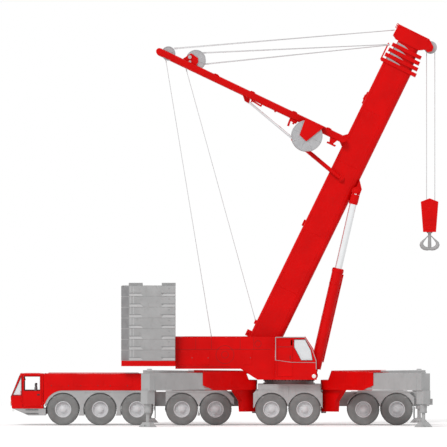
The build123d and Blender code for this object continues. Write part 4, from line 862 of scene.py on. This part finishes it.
boomParts = []
for side in (-1, 1):
    y = side * (boomSizes["halfWidth"] + 0.002)
    boomParts += [rod(boomSpot(0.75, v, y), boomSpot(14.74, v, y), 0.01) for v in boomSizes["weldVs"]]
    boomParts += [rod(boomSpot(u, -0.44, y), boomSpot(u, 0.6, y), 0.008) for u in boomSizes["strapUs"]]
    boomParts += boltRow(14.845, -0.52, 0.17, 0.664, 0.016, 0.022, side)
    boomParts += [cap(*pinRims["mast"], boomSpot(*boomSizes["mastPin"], side * 0.628), (0, side, 0)),
                  cap(*pinRims["foot"], boomSpot(0.0, 0.0, side * 0.64), (0, side, 0), 32)]
boomParts += [boomBar(*values) for values in bumpers]
boomParts.append(rod(boomSpot(0.59, 0.86, -0.5), boomSpot(0.59, 0.86, 0.5), 0.06, 16, 0.006))
piece("boom_fittings", boomParts, "craneRed", "boom")
for number, bodyName in enumerate(("boom_section_1", "boom_section_2", "boom_section_3", "boom_head"),
                                  start=1):
    end = boomSizes["collarEnd"] + (number - 1) * boomSizes["pitch"]
    wide, tall = [boomSizes[half] - number * boomSizes["step"] for half in ("halfWidth", "halfHeight")]
    wedge = [(0.002, tall - 0.03), (0.108, tall - 0.03), (0.085, tall - 0.35), (0.045, 0.02), (0.002, -0.1)]
    wedges = [plate([boomSpot(end + u, v, side * (wide + 0.001)) for u, v in wedge], 0.008, (0, 1, 0), 0.002)
              for side in (-1, 1)]
    piece(f"wear_wedges_{number}", wedges, "sheaveGrey", bodyName)
    bolts = []
    for side in (-1, 1):
        if number < 4:
            bolts += boltRow(end + 0.195, -0.48, 0.16, wide + 0.062, 0.014, 0.02, side)
            continue
        y = side * headSizes["plateY"]
        bolts += [cap([(0.0, r), (0.018, r), (0.026, r * 0.7)], 0.03, boomSpot(u, v, y), (0, side, 0), 24)
                  for u, v, r in headSizes["pins"]]
        bolts += rodLine([boomSpot(u, v, y) for u, v in headSizes["outline"]], 0.01)
        bolts += [hoop(-0.02, 0.02, 0.03, 0.055, boomSpot(u, 0.865, side * 0.36), (0, 1, 0), 20)
                  for u in headSizes["rollerUs"]]
    piece(f"section_bolts_{number}", bolts, "craneRed", bodyName)
print("boom made")

# luffing cylinders: glands, bands, pipes, eyes
luff = {"foot": Vector((4.1621, 0, 2.317)), "eye": boomSpot(8.75, -0.8), "y": 0.88, "glandAt": 5.1,
        "bandsAt": (1.1, 2.75, 4.4), "bolts": 12, "boltCircle": 0.215, "pipeOut": -0.285,
        "gland": [(-0.16, 0.252), (-0.16, 0.268), (-0.01, 0.268), (0.012, 0.25), (0.03, 0.215), (0.032, 0.17),
                  (-0.02, 0.168), (-0.02, 0.24)],
        "eyeRing": [(-0.156, 0.1), (-0.156, 0.196), (-0.14, 0.208), (0.14, 0.208), (0.156, 0.196),
                    (0.156, 0.1)],
        "neck": [(-0.62, 0.168), (-0.62, 0.19), (-0.52, 0.204), (-0.16, 0.204), (-0.16, 0.168)],
        "pin": [(0.0, 0.12), (0.02, 0.124), (0.028, 0.1)]}
luffRun = (luff["eye"] - luff["foot"]).normalized()
luffPipe = Vector((-luffRun.z, 0, luffRun.x)) * luff["pipeOut"]
glandParts, eyeParts, pipeParts = [], [], []
for side in (-1, 1):
    offset = Vector((0, side * luff["y"], 0))
    top, eye = luff["foot"] + luffRun * luff["glandAt"] + offset, luff["eye"] + offset
    glandParts.append(turned(luff["gland"], top, luffRun, 40))
    boltFoot = top + Vector((0, luff["boltCircle"], 0))
    glandParts += ringOf(rod(boltFoot + luffRun * 0.01, boltFoot + luffRun * 0.042, 0.014, 6, 0.003),
                         luff["bolts"],
                         top, luffRun)
    glandParts += [hoop(-0.03, 0.03, 0.249, 0.26, luff["foot"] + luffRun * along + offset, luffRun, 40)
                   for along in luff["bandsAt"]]
    pipeParts.append(rod(*[luff["foot"] + luffRun * along + offset + luffPipe for along in (0.7, 4.9)],
                         0.022, 10))
    eyeParts += [turned(luff["eyeRing"], eye, (0, 1, 0), 40), turned(luff["neck"], eye, luffRun, 40),
                 cap(luff["pin"], 0.032, eye + Vector((0, side * 0.192, 0)), (0, side, 0))]
piece("luff_glands", glandParts, "craneRed", "luff_barrels")
piece("luff_pipes", pipeParts, "craneRed", "luff_barrels")
piece("luff_eyes", eyeParts, "craneRed", "luff_rods")
print("luffing cylinders made")

# guy masts: saddles, brackets, straps, sheave rims
# places are (up the mast, square to it); brackets are (where the mast's y is taken, thickness, corners)
mast = {"saddleMs": (0.801, 2.571, 4.75, 6.627), "strapMs": (1.3, 3.9, 5.8, 7.2), "linkMs": (4.14, 4.62),
        "holes": ((8.115, 0.375, 0.085), (8.019, 0.185, 0.062)),
        "lowBrackets": [(0.4, 0.06, [(0.2, -0.13), (0.6, -0.13), (0.5, -0.42), (0.34, -0.42)]),
                        (0.4, 0.14, [(0.18, -0.4), (0.62, -0.4), (0.62, -0.47), (0.18, -0.47)]),
                        (2.45, 0.06, [(2.26, -0.13), (2.68, -0.13), (2.66, -0.27), (2.3, -0.29)]),
                        (2.45, 0.08, [(2.58, -0.25), (2.67, -0.25), (2.64, -0.54), (2.54, -0.53)]),
                        (2.45, 0.08, [(2.36, -0.28), (2.46, -0.28), (2.46, -0.36), (2.38, -0.36)])],
        "lug": [(3.36, -0.14), (3.5, -0.14), (3.46, -0.215), (3.4, -0.215)],
        # the guy drum: how far up, off the mast, y, radius and width; then its rope's radii and lay
        "drum": (1.596, -0.59, -1.405, 0.73, 0.23), "coil": (0.428, 0.442), "turns": 11, "lay": 0.017}


def mastPlate(corners, y, thickness):
    return plate([mastSpot(m, n, y) for m, n in corners], thickness, (0, 1, 0), 0.006)


mastParts, mastHoles, drumParts = [], [], []
for m in mast["saddleMs"]:
    y = -mastSide(m)
    mastParts += [mastPlate([(m - 0.15, 0.14), (m - 0.09, 0.2), (m + 0.09, 0.2), (m + 0.15, 0.14)], y, 0.15),
                  rod(mastSpot(m, 0.185, y - 0.1), mastSpot(m, 0.185, y + 0.1), 0.028, 12, 0.004)]
mastParts += [mastPlate(corners, -mastSide(m), thickness) for m, thickness, corners in mast["lowBrackets"]]
y = -mastSide(4.4)
mastParts.append(rod(mastSpot(4.66, -0.19, y), mastSpot(4.12, -0.25, y), 0.024, 12, 0.004))
mastParts += [mastPlate([(m - 0.04, -0.13), (m + 0.04, -0.13), (m + 0.03, -0.265), (m - 0.03, -0.265)],
                        y, 0.04)
              for m in mast["linkMs"]]
mastParts.append(mastPlate(mast["lug"], -mastSide(3.43), 0.05))
mastParts += [mastPlate([(m - 0.05, -0.158), (m + 0.05, -0.158), (m + 0.05, 0.158), (m - 0.05, 0.158)],
                        -mastSide(m), 0.236) for m in mast["strapMs"]]
for m, n, r in mast["holes"]:
    spot = mastSpot(m, n, -(mastSide(8.1) - 0.104))
    mastHoles.append(cap([(0.0, r), (0.006, r)], 0.007, spot, (0, -1, 0), 24))
    mastParts.append(turned([(0.0, r), (0.0, r + 0.022), (0.012, r + 0.022), (0.016, r + 0.008), (0.01, r)],
                            spot, (0, -1, 0), 24))
for m, n, y, r, width in (mast["drum"], (7.806, 0.384, -(mastSide(7.806) - 0.21), 0.463, 0.09),
                          (9.095, 0.11, -(mastSide(9.095) - 0.19), 0.318, 0.07)):
    for side in (-1, 1):  # pressed ring and spokes on each flange
        face = y + side * (width / 2 + 0.001)
        ring = [(0.0, r - 0.045), (0.0, r - 0.004), (0.01, r - 0.01), (0.01, r - 0.036)]
        drumParts.append(turned(ring, mastSpot(m, n, face), (0, side, 0), 48))
        spoke = rod(mastSpot(m + 0.12, n, face), mastSpot(m + r - 0.05, n, face), 0.012)
        drumParts += ringOf(spoke, 8, mastSpot(m, n, face), (0, 1, 0))
inner, outer = mast["coil"]
coil = []
for step in range(mast["turns"]):  # rope laid on the drum
    w = -0.085 + step * mast["lay"]
    coil.append(turned([(w - 0.0084, inner), (w - 0.004, outer), (w + 0.004, outer), (w + 0.0084, inner)],
                       mastSpot(*mast["drum"][:3]), (0, -1, 0), 48))
piece("mast_fittings", bothSides(mastParts), "craneRed", "guying")
piece("mast_sheave_rims", bothSides(drumParts + mastHoles), "sheaveGrey", "guying")
piece("guy_drum_rope", bothSides(coil), "ropeSteel", "guying")
stay = {"pin": boomSpot(*boomSizes["mastPin"]), "eye": mastSpot(4.806, -0.296), "y": 0.735,
        "bandsAt": (0.55, 1.7, 2.93)}
stayRun = (stay["eye"] - stay["pin"]).normalized()
stayParts = [hoop(-0.035, 0.035, 0.07, 0.1, stay["pin"] + Vector((0, side * stay["y"], 0)) + stayRun * along,
                  stayRun, 28) for side in (-1, 1) for along in stay["bandsAt"]]
piece("mast_cylinder_glands", stayParts, "craneRed", "mast_barrels")
print("masts made")

# hook block and ramshorn hook
hook = {"x": 9.584, "cheekY": 0.212, "cheek": [(-0.41, 10.44), (0.0, 10.6), (0.41, 10.44), (0.3, 9.02),
                                               (-0.3, 9.02)],
        "ribs": ((9.6, 0.27), (9.36, 0.25), (9.16, 0.24)),  # z, half length
        # x, z, radius
        "pins": ((0.0, 10.06, 0.115), (0.0, 9.27, 0.07), (-0.21, 10.36, 0.03), (0.21, 10.36, 0.03)),
        "belly": [(-0.3, 9.024), (0.3, 9.024), (0.335, 9.52), (-0.335, 9.52)],
        "edge": [(0.404, 10.436), (0.38, 10.436), (0.305, 9.5), (0.33, 9.5)],
        "sheaveYs": (-0.13, 0.0, 0.13), "sheaveZ": 10.06,
        "sheave": [(-0.045, 0.06), (-0.045, 0.33), (-0.03, 0.345), (-0.012, 0.318), (0.012, 0.318),
                   (0.03, 0.345),
                   (0.045, 0.33), (0.045, 0.06)],
        "nut": [(0.0, 0.13), (0.02, 0.135), (0.05, 0.12), (0.06, 0.075), (0.13, 0.072)],
        # x, z and radius along one horn
        "horn": [(0.0, 8.245, 0.078), (0.12, 8.236, 0.082), (0.235, 8.262, 0.09), (0.33, 8.325, 0.096),
                 (0.378, 8.415, 0.092), (0.368, 8.505, 0.074), (0.315, 8.585, 0.054), (0.24, 8.665, 0.038),
                 (0.16, 8.745, 0.026), (0.085, 8.835, 0.02)]}
hx = hook["x"]
blockParts = []
for side in (-1, 1):
    y = side * hook["cheekY"]
    blockParts.append(sidePlate([(hx + x, z) for x, z in hook["cheek"]], y, 0.034, 0.006))
    blockParts += [panel(hx - half, hx + half, y, 0.03, z - 0.014, z + 0.014, 0.006)
                   for z, half in hook["ribs"]]
    blockParts += [cap([(0.0, r), (0.02, r), (0.028, r * 0.75)], 0.03, (hx + x, y, z), (0, side, 0))
                   for x, z, r in hook["pins"]]
blockParts.append(sidePlate([(hx + x * 0.94, z) for x, z in hook["belly"]], 0, 0.4, 0.01))
blockParts += [sidePlate([(hx + side * x, z) for x, z in hook["edge"]], 0, 0.395, 0.004) for side in (-1, 1)]
blockDark = [turned(hook["sheave"], (hx, y, hook["sheaveZ"]), (0, 1, 0), 40) for y in hook["sheaveYs"]]
hookBlock = piece("hook_block_red", blockParts, "craneRed", "hook")
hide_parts("hook_block")
piece("hook_block_sheaves", blockDark, "sheaveGrey", "hook")
hookParts = [cap(hook["nut"], 0.15, (hx, 0, 9.02), (0, 0, -1)),
             rod((hx, 0, 8.93), (hx, 0, 8.3), 0.07, 20, endRadius=0.085)]
for side in (-1, 1):
    for (xa, za, ra), (xb, zb, rb) in zip(hook["horn"], hook["horn"][1:]):
        ball = [(-rb, 0.001), (-rb * 0.7, rb * 0.71), (0, rb), (rb * 0.7, rb * 0.71), (rb, 0.001)]
        hookParts += [rod((hx + side * xa, 0, za), (hx + side * xb, 0, zb), ra, 18, endRadius=rb),
                      turned(ball, (hx + side * xb, 0, zb), (0, 1, 0), 18)]
piece("ramshorn_hook", hookParts, "slabGrey", "hook")
print("hook made")

# ropes: all held taut between the crane's own drums, sheaves and block
ropeSizes = {"fall": 0.016, "guy": 0.014, "ferruleHalf": 0.07, "ferruleIn": 0.1, "fallYs": (-0.09, 0.0, 0.09)}


def rope(start, end, radius):
    # straight taut rope with a ferrule near either end
    along, half = (end - start).normalized(), ropeSizes["ferruleHalf"]
    return [rod(start, end, radius, 10)] + [
        hoop(-half, half, radius, radius * 1.5, spot, along, 14)
        for spot in (start + along * ropeSizes["ferruleIn"], end - along * ropeSizes["ferruleIn"])]


headSheave = boomSpot(16.33, -0.986)
# falls either side of the head sheaves: x from the hook's middle, how far below the sheaves' axis they start
fallSides = {"falls_near": (-0.14, 0.244), "falls_far": (0.245, 0.236)}
fallFoot, hookTravel = 10.48, 6.6
for name, (x, drop) in fallSides.items():  # each with a mesh of its own
    top = headSheave.z - drop
    fallParts = [rod((hx + x, y, fallFoot), (hx + x, y, top), ropeSizes["fall"], 10)
                 for y in ropeSizes["fallYs"]]
    falls = piece(name, fallParts, "ropeSteel", "falls")
    if name == "falls_near":
        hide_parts("hook_falls")
    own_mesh(falls)
tipY, sheaveY = -(mastSide(9.095) - 0.19), -(mastSide(7.806) - 0.21)
tipDown = mastSpot(9.095, -0.19, tipY)
guyParts = {
    "guy_head": (mastSpot(8.97, 0.43, tipY), boomSpot(16.33, 0.88, -0.34)),
    "guy_collar_high": (mastSpot(7.66, 0.83, sheaveY), boomSpot(15.62, 0.8, -0.45)),
    "guy_collar_low": (mastSpot(7.35, 0.395, sheaveY), boomSpot(15.6, 0.78, -0.45)),
    "guy_boom_back": (mastSpot(8.067, -0.16, -(mastSide(8.067) - 0.19)), boomSpot(1.2, 0.73, -0.45))}
for name, ends in guyParts.items():  # each side a piece with a mesh of its own
    for sideName, side in (("left", 1), ("right", -1)):
        first, last = [Vector((end.x, side * end.y, end.z)) for end in ends]
        one = piece(f"{name}_{sideName}", rope(first, last, ropeSizes["guy"]), "ropeSteel", "guying")
        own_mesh(one)
winchEnd = Vector((-0.61, -0.3, 4.04))
winchRope = piece("winch_rope", rope(tipDown, winchEnd, ropeSizes["guy"]), "ropeSteel", "guying")
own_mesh(winchRope)
# anchors on the boom: first and last place along it, lowest and highest above its middle, half width
anchorBars = [(14.8, 15.66, 0.84, 0.9, 0.025), (14.8, 14.9, 0.7, 0.9, 0.035),
              (1.1, 1.3, 0.712, 0.8, 0.03)]
anchors = [boomBar(u0, u1, v0, v1, side * 0.45 - half, side * 0.45 + half)
           for side in (-1, 1) for u0, u1, v0, v1, half in anchorBars]
piece("rope_anchors", anchors, "craneRed", "boom")
print("ropes made")

# outriggers: bands, grip strips, foot ribs, arm welds
# hinge x, length to the jack, angle off the carrier's length
armHinges = {"front": (1.3871, 7.4, 48.0), "rear": (4.6251, 7.151, 50.3)}
arm = {"hingeY": -0.86, "bandZs": (0.7, 0.92), "capZ": 2.505,
       "capRim": [(0.0, 0.12), (0.025, 0.125), (0.04, 0.1)],
       "beamY": 0.275, "stripY": 0.264, "weldY": 0.302, "ribs": 8, "ribStart": 0.2,
       "stiffenersAt": (1.9, 2.6, 3.3),
       "footRing": [(0.0, 0.09), (0.0, 0.125), (0.018, 0.128), (0.03, 0.1), (0.03, 0.09)]}
for end, (hingeX, reach, degrees) in armHinges.items():
    sign, angle = -1 if end == "front" else 1, math.radians(degrees)
    outX, outY = sign * math.cos(angle), -math.sin(angle)
    across = Vector((outY, -outX, 0)) * sign
    armFrame = Matrix(((outX, across.x, 0, hingeX), (outY, across.y, 0, arm["hingeY"]), (0, 0, 1, 0),
                       (0, 0, 0, 1)))

    def armSpot(s, w, z):  # along the arm from its hinge, across it and up
        return Vector((hingeX + outX * s, arm["hingeY"] + outY * s, z)) + across * w

    jack = armSpot(reach, 0, 0)
    beamParts = [hoop(-0.022, 0.022, 0.15, 0.178, (jack.x, jack.y, z), (0, 0, 1)) for z in arm["bandZs"]]
    beamParts.append(cap(arm["capRim"], 0.044, (jack.x, jack.y, arm["capZ"]), (0, 0, 1)))
    footParts, slits, armParts = [], [], []
    for side in (-1, 1):  # seams down the beam's head, pale grip strip low on the beam
        w = side * arm["beamY"] * 0.98
        beamParts.append(rod(armSpot(reach - 0.2, w, 1.72), armSpot(reach - 0.2, w, 2.3), 0.009))
        strip = panel(6.04, 6.72, side * arm["stripY"], 0.006, 1.684, 1.712, 0.003)
        slits.append(copyOf(strip, armFrame))
        bpy.data.objects.remove(strip)
        w = side * arm["weldY"]
        armParts.append(rod(armSpot(1.35, w, 1.8), armSpot(3.82, w, 1.8), 0.008))
        for s in arm["stiffenersAt"]:
            stiffener = block((-0.012, -0.006, 1.7), (0.012, 0.006, 2.36), 0.003)
            stiffener.data.transform(Matrix.Translation(armSpot(s, w, 0)) @ Matrix.Rotation(
                math.atan2(outY, outX), 4, "Z"))
            armParts.append(stiffener)
    rib = block((jack.x + 0.09, jack.y - 0.01, 0.04), (jack.x + 0.33, jack.y + 0.01, 0.105), 0.004)
    footParts += ringOf(rib, arm["ribs"], (jack.x, jack.y, 0), (0, 0, 1), arm["ribStart"])
    footParts.append(turned(arm["footRing"], (jack.x, jack.y, 0.212), (0, 0, 1), 28))
    for sideName, place in (("left", Matrix.Identity(4)), ("right", mirrorY)):
        beamBody = f"outrigger_beam_{end}_{sideName}"
        armBody = "carrier" if end == "front" else f"outrigger_arm_{end}_{sideName}"
        for label, parts, finish, body in (
                ("jack_bands", beamParts, "carrierGrey", beamBody),
                ("grip_strips", slits, "rimSilver", beamBody),
                ("foot_ribs", footParts, "carrierGrey", f"outrigger_foot_{end}_{sideName}"),
                ("arm_welds", armParts, "craneRed", armBody)):
            piece(f"{label}_{end}_{sideName}", [copyOf(part, place) for part in parts], finish, body)
    for part in beamParts + footParts + armParts + slits:
        bpy.data.objects.remove(part)
centre = {"recesses": ((2.69, 2.96, 1.42, 1.86), (3.01, 3.28, 1.42, 1.86), (1.56, 2.3, 1.66, 1.9),
                       (3.72, 4.44, 1.66, 1.9)), "seams": ((1.45, 2.66), (3.31, 4.52)),
          "postXs": (2.98, 1.5, 4.48)}
centreParts = [block((x0, -1.49, z0), (x1, -1.474, z1), 0.004, inset=((0, -1, 0), 0.03, -0.006))
               for x0, x1, z0, z1 in centre["recesses"]]
centreParts += [block((x0, -1.488, 1.606), (x1, -1.476, 1.622), 0.003) for x0, x1 in centre["seams"]]
centreParts += [rod((x, -1.484, 1.3), (x, -1.484, 1.92), 0.012, 10) for x in centre["postXs"]]
piece("centre_panels", bothSides(centreParts), "carrierGrey", "carrier")
ring = {"bolts": 44, "boltCircle": 1.18, "z": 2.06}
boltX = slewX + ring["boltCircle"]
ringBolt = rod((boltX, 0, ring["z"]), (boltX, 0, 2.112), 0.022, 6, 0.004)
piece("ring_bolts", ringOf(ringBolt, ring["bolts"], (slewX, 0, ring["z"]), (0, 0, 1)), "darkSteel", "carrier")
print("outriggers made")

# floor, light and camera
stage = {"floorRadius": 60.0, "floorZ": -0.002, "floorColor": (0.93, 0.93, 0.93, 1), "floorLift": 0.24,
         "skyStrength": 0.62, "seenStrength": 1.0, "sunStrength": 1.35, "sunSpread": 20,
         "sunFrom": (-0.3, -0.72, 0.62), "lens": 1000.0, "sensor": 36, "clip": (50, 3000),
         "cameraPlace": (-0.059, -581.0, 9.42)}
clearPicks()
bpy.ops.mesh.primitive_circle_add(vertices=96, radius=stage["floorRadius"], fill_type="NGON",
                                  location=(0, 0, stage["floorZ"]))
floor = settle(active())
floor.name = "floor"
# the floor glows a little where the camera sees it, so that it renders near white under its shadow
floorPaint, floorTree, floorShader = newPaint("floorPaint")
setInputs(floorShader, Base_Color=stage["floorColor"], Roughness=0.9, Specular_IOR_Level=0.0,
          Emission_Color=(1, 1, 1, 1))


def addMath(tree, operation, first, second=None):
    node = addNode(tree, "Math")
    node.operation = operation
    tree.links.new(first, node.inputs[0])
    if second:
        tree.links.new(second, node.inputs[1])
    return node


floorRays = addNode(floorTree, "LightPath")
floorLift = addMath(floorTree, "MULTIPLY", floorRays.outputs["Is Camera Ray"])
floorLift.inputs[1].default_value = stage["floorLift"]
floorTree.links.new(floorLift.outputs[0], floorShader.inputs["Emission Strength"])
floor.data.materials.append(floorPaint)

# soft light from all round; camera, glass and gloss rays see plain white
world = bpy.data.worlds.new("paleSky")
bpy.context.scene.world = world
world.use_nodes = True
skyTree = world.node_tree
skyTree.nodes.clear()
skyLinks = skyTree.links.new
skyOut, skyMix = addNode(skyTree, "OutputWorld"), addNode(skyTree, "MixShader")
rays = addNode(skyTree, "LightPath")
seen = addMath(skyTree, "MAXIMUM", rays.outputs["Is Camera Ray"], rays.outputs["Is Transmission Ray"])
seen = addMath(skyTree, "MAXIMUM", seen.outputs[0], rays.outputs["Is Glossy Ray"])
skyLinks(seen.outputs[0], skyMix.inputs[0])
for slot, strength in ((1, stage["skyStrength"]), (2, stage["seenStrength"])):
    light = addNode(skyTree, "Background", Color=(1, 1, 1, 1), Strength=strength)
    skyLinks(light.outputs[0], skyMix.inputs[slot])
skyLinks(skyMix.outputs[0], skyOut.inputs[0])

sun = bpy.data.lights.new("softSun", "SUN")
sun.energy = stage["sunStrength"]
sun.angle = math.radians(stage["sunSpread"])
sunLamp = bpy.data.objects.new("softSun", sun)
bpy.context.collection.objects.link(sunLamp)
sunLamp.rotation_euler = Vector(stage["sunFrom"]).to_track_quat("Z", "Y").to_euler()

lens = bpy.data.cameras.new("camera")
lens.lens = stage["lens"]
lens.sensor_width = stage["sensor"]
lens.clip_start, lens.clip_end = stage["clip"]
camera = bpy.data.objects.new("camera", lens)
bpy.context.collection.objects.link(camera)
camera.location = stage["cameraPlace"]
camera.rotation_euler = (math.radians(90), 0, 0)
bpy.context.scene.camera = camera
bpy.context.scene.view_settings.view_transform = "Standard"
